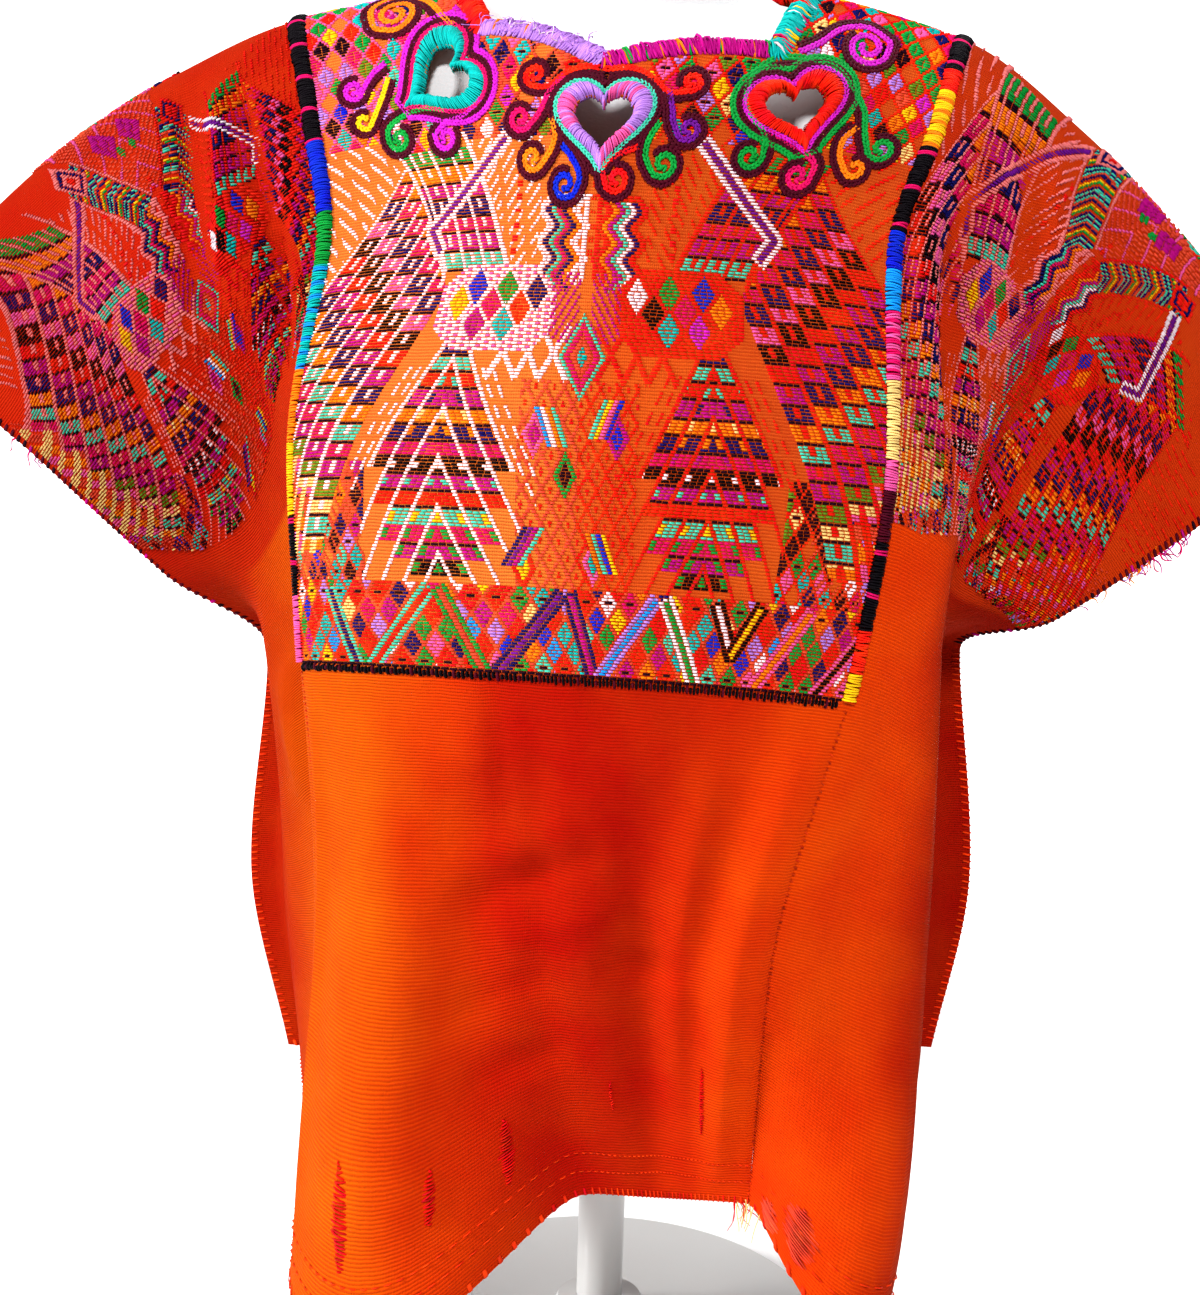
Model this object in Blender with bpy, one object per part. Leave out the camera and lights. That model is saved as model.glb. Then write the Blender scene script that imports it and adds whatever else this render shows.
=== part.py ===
"""Three-panel huipil blouse, worn hollow over a limbless dress form on a stand.

The blouse is cut as the weaver cuts it: three straight lengths of cloth, joined along their selvedges
and folded over the shoulders.  Each panel is first a flat slab in cloth coordinates, s across the garment
and t along the warp from the shoulder fold (front positive, back negative).  The neck hole and the
heart-shaped cut-outs are cut there, and drape() then carries the slab onto the worn shape.
Front faces -Y, the wearer's left is +X, the floor is z = 0, metres throughout.
"""

from collections import namedtuple
from math import cos, hypot, pi, sin

import bmesh
import bpy
import numpy as np
from mathutils import Vector

# ---------------------------------------------------------------- driving dimensions
WALL = 0.0020  # cloth and its brocade together
GAP = 0.0003  # between neighbouring pieces
CENTRE_HALF = 0.165  # half the width of the centre panel
SIDE_WIDTH = 0.215  # width of each side panel
LENGTH = 0.610  # shoulder fold to hem, front and back alike
BROCADE = 0.350  # shoulder fold to the foot of the brocade, where the joining stitch ends

WARP_STEP = 0.0265  # spacing of the wall's sections along the cloth
CENTRE_STEPS = 18
SIDE_STEPS = 15

RANDA_WIDTH = 0.0085  # joining stitch over the two long seams
RANDA_HEIGHT = 0.0016
BINDING_RADIUS = 0.0030  # buttonholed roll round the neck
RIM_WIDTH = 0.0085  # satin-stitched rim of a heart
RIM_HEIGHT = 0.0026

# ---------------------------------------------------------------- sections of the worn blouse
# One row for each section, t from the shoulder fold; each named column is a point (x, y, z) of the
# section: the seam to the centre panel, the ridge and the valley of the side fold, the free edge.
Section = namedtuple("Section", "t seam ridge valley edge")
Middle = namedtuple("Middle", "t x y z")
Flare = namedtuple("Flare", "name s half_width t_from t_to out down")
Heart = namedtuple("Heart", "name s t turn half_width")

CENTRE_SECTIONS = (
    Middle(-0.610, 0.000, 0.172, 0.170),
    Middle(-0.480, 0.000, 0.158, 0.292),
    Middle(-0.320, 0.000, 0.139, 0.450),
    Middle(-0.240, 0.000, 0.130, 0.528),
    Middle(-0.140, 0.000, 0.112, 0.622),
    Middle(-0.070, 0.002, 0.092, 0.684),
    Middle(0.000, 0.002, 0.018, 0.737),
    Middle(0.070, 0.002, -0.112, 0.692),
    Middle(0.140, 0.002, -0.150, 0.632),
    Middle(0.240, 0.002, -0.178, 0.538),
    Middle(0.320, 0.003, -0.182, 0.459),
    Middle(0.480, 0.008, -0.174, 0.300),
    Middle(0.610, 0.022, -0.160, 0.174),
)
LEFT_ARM_SECTIONS = (  # the wearer's left arm, +X
    Section(-0.610, (0.138, 0.152, 0.165), (0.168, 0.122, 0.165), (0.150, 0.055, 0.170), (0.172, 0.000, 0.195)),
    Section(-0.480, (0.146, 0.140, 0.292), (0.172, 0.108, 0.288), (0.158, 0.050, 0.275), (0.186, 0.000, 0.290)),
    Section(-0.320, (0.151, 0.122, 0.450), (0.176, 0.090, 0.432), (0.169, 0.047, 0.395), (0.174, 0.000, 0.411)),
    Section(-0.240, (0.154, 0.108, 0.528), (0.188, 0.084, 0.500), (0.198, 0.055, 0.462), (0.215, 0.036, 0.439)),
    Section(-0.140, (0.158, 0.078, 0.618), (0.213, 0.074, 0.577), (0.250, 0.062, 0.536), (0.267, 0.047, 0.479)),
    Section(-0.070, (0.160, 0.044, 0.676), (0.216, 0.048, 0.632), (0.263, 0.044, 0.588), (0.305, 0.040, 0.510)),
    Section(0.000, (0.158, 0.000, 0.709), (0.216, 0.004, 0.669), (0.262, 0.008, 0.626), (0.340, 0.016, 0.536)),
    Section(0.070, (0.149, -0.052, 0.672), (0.205, -0.040, 0.637), (0.250, -0.034, 0.600), (0.310, -0.026, 0.512)),
    Section(0.140, (0.134, -0.100, 0.618), (0.183, -0.086, 0.592), (0.222, -0.054, 0.566), (0.274, -0.044, 0.482)),
    Section(0.240, (0.139, -0.141, 0.528), (0.171, -0.112, 0.502), (0.170, -0.058, 0.474), (0.219, -0.046, 0.440)),
    Section(0.320, (0.130, -0.149, 0.447), (0.165, -0.113, 0.419), (0.160, -0.055, 0.400), (0.174, 0.000, 0.411)),
    Section(0.480, (0.097, -0.164, 0.293), (0.163, -0.122, 0.258), (0.152, -0.056, 0.250), (0.186, 0.000, 0.290)),
    Section(0.610, (0.091, -0.158, 0.175), (0.147, -0.152, 0.125), (0.144, -0.066, 0.150), (0.172, 0.000, 0.195)),
)
RIGHT_ARM_SECTIONS = (  # the wearer's right arm, -X
    Section(-0.610, (-0.138, 0.152, 0.165), (-0.168, 0.122, 0.165), (-0.150, 0.055, 0.160), (-0.174, 0.000, 0.166)),
    Section(-0.480, (-0.146, 0.140, 0.292), (-0.172, 0.108, 0.288), (-0.160, 0.050, 0.268), (-0.194, 0.000, 0.270)),
    Section(-0.320, (-0.153, 0.122, 0.450), (-0.183, 0.090, 0.432), (-0.179, 0.048, 0.388), (-0.184, 0.000, 0.388)),
    Section(-0.240, (-0.156, 0.108, 0.528), (-0.196, 0.084, 0.504), (-0.208, 0.058, 0.462), (-0.231, 0.042, 0.437)),
    Section(-0.140, (-0.162, 0.078, 0.620), (-0.215, 0.074, 0.585), (-0.258, 0.064, 0.552), (-0.291, 0.044, 0.500)),
    Section(-0.070, (-0.164, 0.042, 0.678), (-0.222, 0.046, 0.643), (-0.275, 0.042, 0.612), (-0.332, 0.018, 0.538)),
    Section(0.000, (-0.166, 0.000, 0.709), (-0.224, -0.002, 0.683), (-0.280, -0.010, 0.647), (-0.366, -0.030, 0.566)),
    Section(0.070, (-0.147, -0.054, 0.668), (-0.209, -0.052, 0.642), (-0.262, -0.050, 0.606), (-0.327, -0.058, 0.529)),
    Section(0.140, (-0.129, -0.098, 0.612), (-0.184, -0.092, 0.586), (-0.234, -0.080, 0.550), (-0.279, -0.064, 0.492)),
    Section(0.240, (-0.139, -0.120, 0.522), (-0.154, -0.082, 0.500), (-0.182, -0.054, 0.460), (-0.225, -0.046, 0.436)),
    Section(0.320, (-0.134, -0.129, 0.442), (-0.146, -0.070, 0.422), (-0.174, -0.037, 0.381), (-0.184, 0.000, 0.388)),
    Section(0.480, (-0.123, -0.140, 0.290), (-0.138, -0.068, 0.270), (-0.166, -0.030, 0.254), (-0.194, 0.000, 0.270)),
    Section(0.610, (-0.133, -0.152, 0.112), (-0.138, -0.080, 0.130), (-0.158, -0.032, 0.150), (-0.174, 0.000, 0.166)),
)
RIDGE_OFFSET = 0.060  # the ridge's and the valley's places across a side panel
VALLEY_OFFSET = 0.116
ARMHOLE = 0.320  # shoulder fold to the top of the side seam
FIN_WIDTH = 0.010  # the two selvedges lie flat together at the side seam

# Soft flutes that open towards the hem; out along the cloth's normal, down along -Z.
FLARES = (
    Flare("front_right_lobe", -0.092, 0.078, 0.40, 0.64, 0.050, 0.030),
    Flare("front_left_lobe", 0.201, 0.036, 0.44, 0.64, 0.042, 0.012),
    Flare("back_right_flute", -0.100, 0.070, -0.30, -0.64, 0.024, 0.000),
    Flare("back_left_flute", 0.085, 0.065, -0.26, -0.64, 0.028, 0.000),
)
HEARTS = (
    Heart("heart_rim_right", -0.0895, 0.0650, -1.00, 0.0168),
    Heart("heart_rim_centre", 0.0025, 0.0915, 0.05, 0.0155),
    Heart("heart_rim_left", 0.0962, 0.0765, 0.42, 0.0150),
)

# Neck hole in cloth coordinates: scalloped in front, shallow behind.
NECK_SIDE = 0.092
NECK_LEFT_CORNER = (0.0815, 0.0505)
NECK_RIGHT_CORNER = (-0.072, 0.043)
NECK_CUSP = (-0.001, 0.0635)
NECK_BACK = 0.036
SCALLOP = 0.0035  # rise of each front scallop between its cusps

# Dress form: one row for each ring from the hip to the neck.
Ring = namedtuple("Ring", "z half_width front back power")
FORM_RINGS = (
    Ring(0.205, 0.118, 0.096, 0.094, 2.2),
    Ring(0.212, 0.132, 0.106, 0.106, 2.2),
    Ring(0.260, 0.137, 0.110, 0.114, 2.2),
    Ring(0.330, 0.132, 0.104, 0.108, 2.2),
    Ring(0.400, 0.112, 0.092, 0.090, 2.1),
    Ring(0.460, 0.112, 0.096, 0.088, 2.1),
    Ring(0.520, 0.128, 0.122, 0.096, 2.2),
    Ring(0.560, 0.134, 0.130, 0.100, 2.2),
    Ring(0.610, 0.140, 0.112, 0.098, 2.2),
    Ring(0.6472, 0.147, 0.092, 0.090, 2.0),
    Ring(0.6722, 0.151, 0.077, 0.078, 1.9),
    Ring(0.6902, 0.150, 0.064, 0.066, 1.7),
    Ring(0.7022, 0.143, 0.055, 0.054, 1.5),
    Ring(0.7112, 0.124, 0.050, 0.049, 1.4),
    Ring(0.7172, 0.096, 0.047, 0.046, 1.5),
    Ring(0.7222, 0.070, 0.045, 0.044, 1.6),
    Ring(0.7314, 0.057, 0.044, 0.043, 1.8),
    Ring(0.7420, 0.054, 0.045, 0.043, 2.0),
    Ring(0.7514, 0.048, 0.045, 0.043, 2.0),
    Ring(0.8014, 0.047, 0.045, 0.043, 2.0),
)
FORM_SIDES = 32
CAP_RADIUS = 0.045
CAP_HEIGHT = 0.012
POLE_RADIUS = 0.0125
COLLAR_RADIUS = 0.024
COLLAR_HEIGHT = 0.018
BASE_RADIUS = 0.130
BASE_HEIGHT = 0.016


# ---------------------------------------------------------------- the worn surface
def smooth_through(keys, rows, x):
    """Points of the smooth curves through the rows of a table, which never swing past a row.

    keys has K values, rows is (N, K, 3) and x has N values: one curve and one place on it each.
    """
    spans = np.diff(keys)
    rises = np.diff(rows, axis=1) / spans[None, :, None]
    before, after = rises[:, :-1], rises[:, 1:]
    weight_before = (2 * spans[1:] + spans[:-1])[None, :, None]
    weight_after = (spans[1:] + 2 * spans[:-1])[None, :, None]
    same_way = before * after > 0
    safe_before = np.where(same_way, before, 1.0)
    safe_after = np.where(same_way, after, 1.0)
    middle = (weight_before + weight_after) / (weight_before / safe_before + weight_after / safe_after)
    slopes = np.concatenate([rises[:, :1], np.where(same_way, middle, 0.0), rises[:, -1:]], axis=1)
    x = np.clip(x, keys[0], keys[-1])
    k = np.clip(np.searchsorted(keys, x, side="right") - 1, 0, len(keys) - 2)
    row = np.arange(len(x))
    span = spans[k][:, None]
    u = (x[:, None] - keys[k][:, None]) / span
    return (
        rows[row, k] * (2 * u**3 - 3 * u**2 + 1)
        + slopes[row, k] * span * (u**3 - 2 * u**2 + u)
        + rows[row, k + 1] * (3 * u**2 - 2 * u**3)
        + slopes[row, k + 1] * span * (u**3 - u**2)
    )


def arm_guides(sections, side):
    """Seam, ridge, valley, fin and edge of one side panel, as rows of points along the cloth."""
    seam = np.array([row.seam for row in sections])
    ridge = np.array([row.ridge for row in sections])
    valley = np.array([row.valley for row in sections])
    edge = np.array([row.edge for row in sections])
    fin = edge + (valley - edge) * FIN_WIDTH / (SIDE_WIDTH - VALLEY_OFFSET)
    for k, row in enumerate(sections):
        if abs(row.t) >= ARMHOLE:
            edge[k, 1] = -np.sign(row.t) * (WALL + GAP / 2)
            fin[k] = edge[k] - (side * FIN_WIDTH, 0, 0)
    return [seam, ridge, valley, fin, edge]


def guide_net():
    """Every guide from the right arm's edge to the left arm's, as (guide, section, xyz)."""
    middle = np.array([row[1:] for row in CENTRE_SECTIONS])
    right = arm_guides(RIGHT_ARM_SECTIONS, -1)
    left = arm_guides(LEFT_ARM_SECTIONS, 1)
    return np.array(right[::-1] + [middle] + left)


SIDE_OFFSETS = (0.0, RIDGE_OFFSET, VALLEY_OFFSET, SIDE_WIDTH - FIN_WIDTH, SIDE_WIDTH)
S_KEYS = np.array(
    [-(CENTRE_HALF + offset) for offset in reversed(SIDE_OFFSETS)]
    + [0.0]
    + [CENTRE_HALF + offset for offset in SIDE_OFFSETS]
)
T_KEYS = np.array([row.t for row in CENTRE_SECTIONS])
GUIDES = guide_net()


def ease(x):
    x = np.clip(x, 0.0, 1.0)
    return x * x * (3 - 2 * x)


def plain_points(s, t):
    across = [
        smooth_through(T_KEYS, np.broadcast_to(guide, (len(t), *guide.shape)), t) for guide in GUIDES
    ]
    return smooth_through(S_KEYS, np.stack(across, axis=1), s)


def normals_of(surface, s, t, step=0.0015):
    s = np.clip(s, S_KEYS[0], S_KEYS[-1])
    t = np.clip(t, T_KEYS[0], T_KEYS[-1])
    along = surface(s, t + step) - surface(s, t - step)
    across = surface(s + step, t) - surface(s - step, t)
    normals = np.cross(along, across)
    return normals / np.linalg.norm(normals, axis=1)[:, None]


def flared_points(s, t):
    points = plain_points(s, t)
    normals = normals_of(plain_points, s, t)
    for flare in FLARES:
        reach = np.abs(s - flare.s) / flare.half_width
        swell = ease((t - flare.t_from) / (flare.t_to - flare.t_from)) * np.clip(1 - reach**2, 0, 1) ** 2
        points = points + normals * (flare.out * swell)[:, None]
        points[:, 2] -= flare.down * swell
    return points


def drape(flat):
    """Flat cloth points (s, t, height above the outer face) carried onto the worn blouse."""
    flat = np.asarray(flat, float)
    s, t, height = flat[:, 0], flat[:, 1], flat[:, 2]
    return flared_points(s, t) + normals_of(flared_points, s, t) * height[:, None]


# ---------------------------------------------------------------- building helpers
def clear_scene():
    for obj in list(bpy.data.objects):
        bpy.data.objects.remove(obj, do_unlink=True)


def material(name, colour, roughness, metallic=0.0):
    made = bpy.data.materials.new(name)
    made.use_nodes = True
    shader = made.node_tree.nodes["Principled BSDF"]
    shader.inputs["Base Color"].default_value = (*colour, 1.0)
    shader.inputs["Roughness"].default_value = roughness
    shader.inputs["Metallic"].default_value = metallic
    made.diffuse_color = (*colour, 1.0)
    return made


def add_object(name, bm, finish, smooth=True):
    bmesh.ops.triangulate(bm, faces=bm.faces)
    bmesh.ops.recalc_face_normals(bm, faces=bm.faces)
    mesh = bpy.data.meshes.new(name)
    bm.to_mesh(mesh)
    bm.free()
    if smooth:
        mesh.shade_smooth()
        mesh.set_sharp_from_angle(angle=0.7)
    mesh.materials.append(finish)
    obj = bpy.data.objects.new(name, mesh)
    bpy.context.scene.collection.objects.link(obj)
    return obj


def flat_slab(s_from, s_to, t_from, t_to, s_steps, t_steps, bottom, top):
    """A flat piece of cloth in (s, t, height), cut into a grid that the draping can bend."""
    bm = bmesh.new()
    bmesh.ops.create_grid(bm, x_segments=s_steps, y_segments=t_steps, size=0.5)
    for vert in bm.verts:
        vert.co.x = s_from + (vert.co.x + 0.5) * (s_to - s_from)
        vert.co.y = t_from + (vert.co.y + 0.5) * (t_to - t_from)
        vert.co.z = top
    grown = bmesh.ops.extrude_face_region(bm, geom=bm.faces[:])
    for element in grown["geom"]:
        if isinstance(element, bmesh.types.BMVert):
            element.co.z = bottom
    return bm


def prism(outline, low, high):
    """A closed upright solid over a flat outline of (s, t) points."""
    bm = bmesh.new()
    bottom = bm.faces.new([bm.verts.new((s, t, low)) for s, t in outline])
    grown = bmesh.ops.extrude_face_region(bm, geom=[bottom])
    moved = [element for element in grown["geom"] if isinstance(element, bmesh.types.BMVert)]
    bmesh.ops.translate(bm, vec=(0, 0, high - low), verts=moved)
    bmesh.ops.recalc_face_normals(bm, faces=bm.faces)
    return bm


def cut_flat(bm, cutters):
    """The flat slab with each cutter taken out of it, while it is still flat."""
    slab_mesh = bpy.data.meshes.new("flat_slab")
    bmesh.ops.recalc_face_normals(bm, faces=bm.faces)
    bm.to_mesh(slab_mesh)
    bm.free()
    slab = bpy.data.objects.new("flat_slab", slab_mesh)
    bpy.context.scene.collection.objects.link(slab)
    helpers = [slab]
    for number, cutter_bm in enumerate(cutters):
        cutter_mesh = bpy.data.meshes.new(f"cutter_{number}")
        cutter_bm.to_mesh(cutter_mesh)
        cutter_bm.free()
        cutter = bpy.data.objects.new(f"cutter_{number}", cutter_mesh)
        bpy.context.scene.collection.objects.link(cutter)
        helpers.append(cutter)
        cut = slab.modifiers.new(f"cut_{number}", "BOOLEAN")
        cut.operation = "DIFFERENCE"
        cut.solver = "EXACT"
        cut.object = cutter
    bpy.context.view_layer.update()
    result = bmesh.new()
    result.from_object(slab, bpy.context.evaluated_depsgraph_get())
    for helper in helpers:
        bpy.data.objects.remove(helper, do_unlink=True)
    return result


def drape_all(bm):
    places = drape([vert.co for vert in bm.verts])
    for vert, place in zip(bm.verts, places):
        vert.co = place
    return bm


# ---------------------------------------------------------------- outlines in cloth coordinates
def heart_outline(heart, grow=0.0, points=28):
    """A heart of two arcs and a point, its tip towards the hem, grown outwards by a rim's width."""
    size = (heart.half_width + grow) / 16.0
    outline = []
    for k in range(points):
        a = 2 * pi * k / points
        across = 16 * sin(a) ** 3 * size
        along = -(13 * cos(a) - 5 * cos(2 * a) - 2 * cos(3 * a) - cos(4 * a)) * size
        turned_s = across * cos(heart.turn) + along * sin(heart.turn)
        turned_t = -across * sin(heart.turn) + along * cos(heart.turn)
        outline.append((heart.s + turned_s, heart.t + turned_t))
    return outline


def scallop(start, end, rise, steps):
    """Points from start up to, but not with, end, bowed towards the neck."""
    run_s, run_t = end[0] - start[0], end[1] - start[1]
    length = hypot(run_s, run_t)
    out_s, out_t = run_t / length, -run_s / length
    if out_t > 0:
        out_s, out_t = -out_s, -out_t
    made = []
    for k in range(steps):
        u = k / steps
        bow = rise * 4 * u * (1 - u)
        made.append((start[0] + run_s * u + out_s * bow, start[1] + run_t * u + out_t * bow))
    return made


def neck_outline():
    """The neck hole, once round from the right arm's side of the front."""
    left_side, right_side = (NECK_SIDE, 0.0), (-NECK_SIDE, 0.0)
    outline = scallop(right_side, NECK_RIGHT_CORNER, 0.0, 4)
    outline += scallop(NECK_RIGHT_CORNER, NECK_CUSP, SCALLOP, 7)
    outline += scallop(NECK_CUSP, NECK_LEFT_CORNER, SCALLOP, 7)
    outline += scallop(NECK_LEFT_CORNER, left_side, 0.0, 4)
    for k in range(12):
        a = pi * k / 12
        outline.append((NECK_SIDE * cos(a), -NECK_BACK * sin(a)))
    return outline


# ---------------------------------------------------------------- the pieces
def panel(name, s_from, s_to, s_steps, finish, holes=()):
    t_steps = 2 * round(LENGTH / WARP_STEP)
    bm = flat_slab(s_from, s_to, -LENGTH, LENGTH, s_steps, t_steps, -WALL, 0.0)
    if holes:
        bm = cut_flat(bm, [prism(hole, -5 * WALL, 5 * WALL) for hole in holes])
    bmesh.ops.triangulate(bm, faces=bm.faces)
    return add_object(name, drape_all(bm), finish)


def randa(name, s, finish):
    """The coloured stitch that joins two selvedges: a low roll over the seam, front to back."""
    steps = round(BROCADE / WARP_STEP)
    reach = steps * LENGTH / round(LENGTH / WARP_STEP)
    half = RANDA_WIDTH / 2
    bm = flat_slab(s - half, s + half, -reach, reach, 2, 2 * steps, GAP, GAP + RANDA_HEIGHT)
    for vert in bm.verts:
        at_edge = abs(abs(vert.co.x - s) - half) < GAP
        if at_edge and vert.co.z > GAP:
            vert.co.z = GAP + RANDA_HEIGHT / 2
    return add_object(name, drape_all(bm), finish)


def neck_binding(finish, sides=6):
    """A stitched roll that follows the neck's cut edge just inside the hole."""
    outline = neck_outline()
    edge = [Vector(place) for place in drape([(s, t, -WALL / 2) for s, t in outline])]
    lifted = [Vector(place) for place in drape([(s, t, WALL) for s, t in outline])]
    count = len(edge)
    bm = bmesh.new()
    loops = []
    for k in range(count):
        up = (lifted[k] - edge[k]).normalized()
        run = (edge[(k + 1) % count] - edge[k - 1]).normalized()
        inward = up.cross(run).normalized()
        if inward.dot(Vector((0, 0, edge[k].z)) - edge[k]) < 0:
            inward = -inward
        centre = edge[k] + inward * (BINDING_RADIUS + 2 * GAP)
        ring = []
        for j in range(sides):
            a = 2 * pi * j / sides
            ring.append(bm.verts.new(centre + (inward * cos(a) + up * sin(a)) * BINDING_RADIUS))
        loops.append(ring)
    for k in range(count):
        here, after = loops[k], loops[(k + 1) % count]
        for j in range(sides):
            bm.faces.new((here[j], here[(j + 1) % sides], after[(j + 1) % sides], after[j]))
    return add_object("neck_binding", bm, finish)


def heart_rim(heart, finish):
    """A crowned ring of satin stitch round a heart-shaped hole, lying on the panel."""
    outlines = (
        (heart_outline(heart), GAP),
        (heart_outline(heart), GAP + RIM_HEIGHT * 0.6),
        (heart_outline(heart, RIM_WIDTH / 2), GAP + RIM_HEIGHT),
        (heart_outline(heart, RIM_WIDTH), GAP + RIM_HEIGHT * 0.4),
        (heart_outline(heart, RIM_WIDTH), GAP),
    )
    bm = bmesh.new()
    rings = [[bm.verts.new((s, t, height)) for s, t in outline] for outline, height in outlines]
    count = len(rings[0])
    for ring, after in zip(rings, rings[1:] + rings[:1]):
        for k in range(count):
            n = (k + 1) % count
            bm.faces.new((ring[k], ring[n], after[n], after[k]))
    return add_object(heart.name, drape_all(bm), finish)


def superellipse(ring):
    points = []
    for k in range(FORM_SIDES):
        a = 2 * pi * k / FORM_SIDES
        depth = ring.back if sin(a) > 0 else ring.front
        bulge = 2 / ring.power
        x = ring.half_width * abs(cos(a)) ** bulge * (1 if cos(a) > 0 else -1)
        y = depth * abs(sin(a)) ** bulge * (1 if sin(a) > 0 else -1)
        points.append((x, y, ring.z))
    return points


def dress_form(finish):
    bm = bmesh.new()
    previous = None
    for ring in FORM_RINGS:
        verts = [bm.verts.new(point) for point in superellipse(ring)]
        if previous is None:
            bm.faces.new(verts)
        else:
            for k in range(FORM_SIDES):
                n = (k + 1) % FORM_SIDES
                bm.faces.new((previous[k], previous[n], verts[n], verts[k]))
        previous = verts
    bm.faces.new(previous)
    return add_object("dress_form", bm, finish)


def turned(name, profile, finish, sides=32):
    """A solid of revolution about the z axis from (radius, z) points, bottom to top."""
    bm = bmesh.new()
    verts = [bm.verts.new((radius, 0, z)) for radius, z in profile]
    for low, high in zip(verts, verts[1:]):
        bm.edges.new((low, high))
    bmesh.ops.spin(
        bm,
        geom=bm.verts[:] + bm.edges[:],
        axis=(0, 0, 1),
        cent=(0, 0, 0),
        angle=2 * pi,
        steps=sides,
        use_merge=True,
    )
    bmesh.ops.remove_doubles(bm, verts=bm.verts, dist=0.0001)
    return add_object(name, bm, finish)


def stand(finish):
    form_bottom = FORM_RINGS[0].z
    form_top = FORM_RINGS[-1].z
    turned(
        "base_plate",
        (
            (0, 0),
            (BASE_RADIUS, 0),
            (BASE_RADIUS, BASE_HEIGHT * 0.55),
            (BASE_RADIUS - 0.006, BASE_HEIGHT),
            (0, BASE_HEIGHT),
        ),
        finish,
    )
    collar_top = BASE_HEIGHT + GAP + COLLAR_HEIGHT
    turned(
        "pole",
        (
            (0, BASE_HEIGHT + GAP),
            (COLLAR_RADIUS, BASE_HEIGHT + GAP),
            (COLLAR_RADIUS, collar_top - 0.004),
            (POLE_RADIUS, collar_top),
            (POLE_RADIUS, form_bottom - GAP),
            (0, form_bottom - GAP),
        ),
        finish,
        sides=20,
    )
    cap_bottom = form_top + GAP
    turned(
        "neck_cap",
        (
            (0, cap_bottom),
            (CAP_RADIUS - 0.003, cap_bottom),
            (CAP_RADIUS, cap_bottom + CAP_HEIGHT * 0.3),
            (CAP_RADIUS, cap_bottom + CAP_HEIGHT * 0.7),
            (CAP_RADIUS - 0.006, cap_bottom + CAP_HEIGHT),
            (0, cap_bottom + CAP_HEIGHT),
        ),
        finish,
    )


def main():
    clear_scene()
    cloth = material("orange_cotton", (0.86, 0.16, 0.02), 0.85)
    stitched = material("joining_stitch", (0.08, 0.02, 0.04), 0.7)
    bound = material("bound_edge", (0.55, 0.04, 0.45), 0.65)
    jersey = material("white_jersey", (0.80, 0.80, 0.81), 0.9)
    enamel = material("white_enamel", (0.82, 0.82, 0.80), 0.35)
    rims = {
        "heart_rim_right": material("turquoise_satin", (0.05, 0.55, 0.50), 0.55),
        "heart_rim_centre": material("pink_satin", (0.80, 0.25, 0.62), 0.55),
        "heart_rim_left": material("red_satin", (0.80, 0.03, 0.07), 0.55),
    }
    seam = CENTRE_HALF
    edge = CENTRE_HALF + SIDE_WIDTH
    hearts = [heart_outline(heart) for heart in HEARTS]
    holes = [neck_outline()] + hearts
    panel("centre_panel", -seam + GAP / 2, seam - GAP / 2, CENTRE_STEPS, cloth, holes)
    panel("side_panel_right", -edge, -seam - GAP / 2, SIDE_STEPS, cloth)
    panel("side_panel_left", seam + GAP / 2, edge, SIDE_STEPS, cloth)
    randa("randa_right", -seam, stitched)
    randa("randa_left", seam, stitched)
    neck_binding(bound)
    for heart in HEARTS:
        heart_rim(heart, rims[heart.name])
    dress_form(jersey)
    stand(enamel)


main()
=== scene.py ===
# %% [markdown]
# A huipil is a blouse of straight handwoven lengths.  Three lengths are folded over the shoulders and
# joined selvedge to selvedge, and the yoke is brocaded on the loom before it is cut.
# This lesson dresses the plain solids of such a blouse: cloth first, then brocade, then the hand
# embroidery round the neck.  Everything is laid out in cloth coordinates, s across the garment and
# t along the warp from the shoulder fold, and one function carries a flat piece onto the worn shape.

# %% Load the solids
from collections import namedtuple
from math import atan2, ceil, cos, hypot, pi, radians, sin

import bmesh
import bpy
import numpy as np
from mathutils import Matrix, Vector


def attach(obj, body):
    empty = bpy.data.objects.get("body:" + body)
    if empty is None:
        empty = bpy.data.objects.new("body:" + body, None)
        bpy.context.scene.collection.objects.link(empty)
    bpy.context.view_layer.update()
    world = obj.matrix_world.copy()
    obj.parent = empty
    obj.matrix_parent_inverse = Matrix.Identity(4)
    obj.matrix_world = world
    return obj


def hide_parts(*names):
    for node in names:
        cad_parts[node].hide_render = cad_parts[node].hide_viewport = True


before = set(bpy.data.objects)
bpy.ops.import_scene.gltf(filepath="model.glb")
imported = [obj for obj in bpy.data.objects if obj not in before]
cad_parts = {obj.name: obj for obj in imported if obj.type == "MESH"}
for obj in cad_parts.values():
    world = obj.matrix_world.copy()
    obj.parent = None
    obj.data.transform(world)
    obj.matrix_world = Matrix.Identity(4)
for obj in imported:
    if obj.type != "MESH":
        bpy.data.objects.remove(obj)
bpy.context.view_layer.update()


def placed(name, data):
    """A new object in the scene for a mesh, a lamp or a camera."""
    made = bpy.data.objects.new(name, data)
    bpy.context.scene.collection.objects.link(made)
    return made


# %% [markdown]
# The camera could be placed by eye, but an angle, a height and a lens are easier to check.  It looks
# down at the blouse a little from the wearer's left, and the picture leans by a degree or so.

# %% Camera
PICTURE_WIDTH, FOCAL_LENGTH = 1200, 2632.5  # both in pixels
SENSOR_WIDTH = 36  # mm
TURN = radians(8)  # towards the wearer's left
LOOK_DOWN = radians(15)
LEAN = radians(1.5)
EYE = Vector((0.1728, -1.2925, 0.7494))

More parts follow.
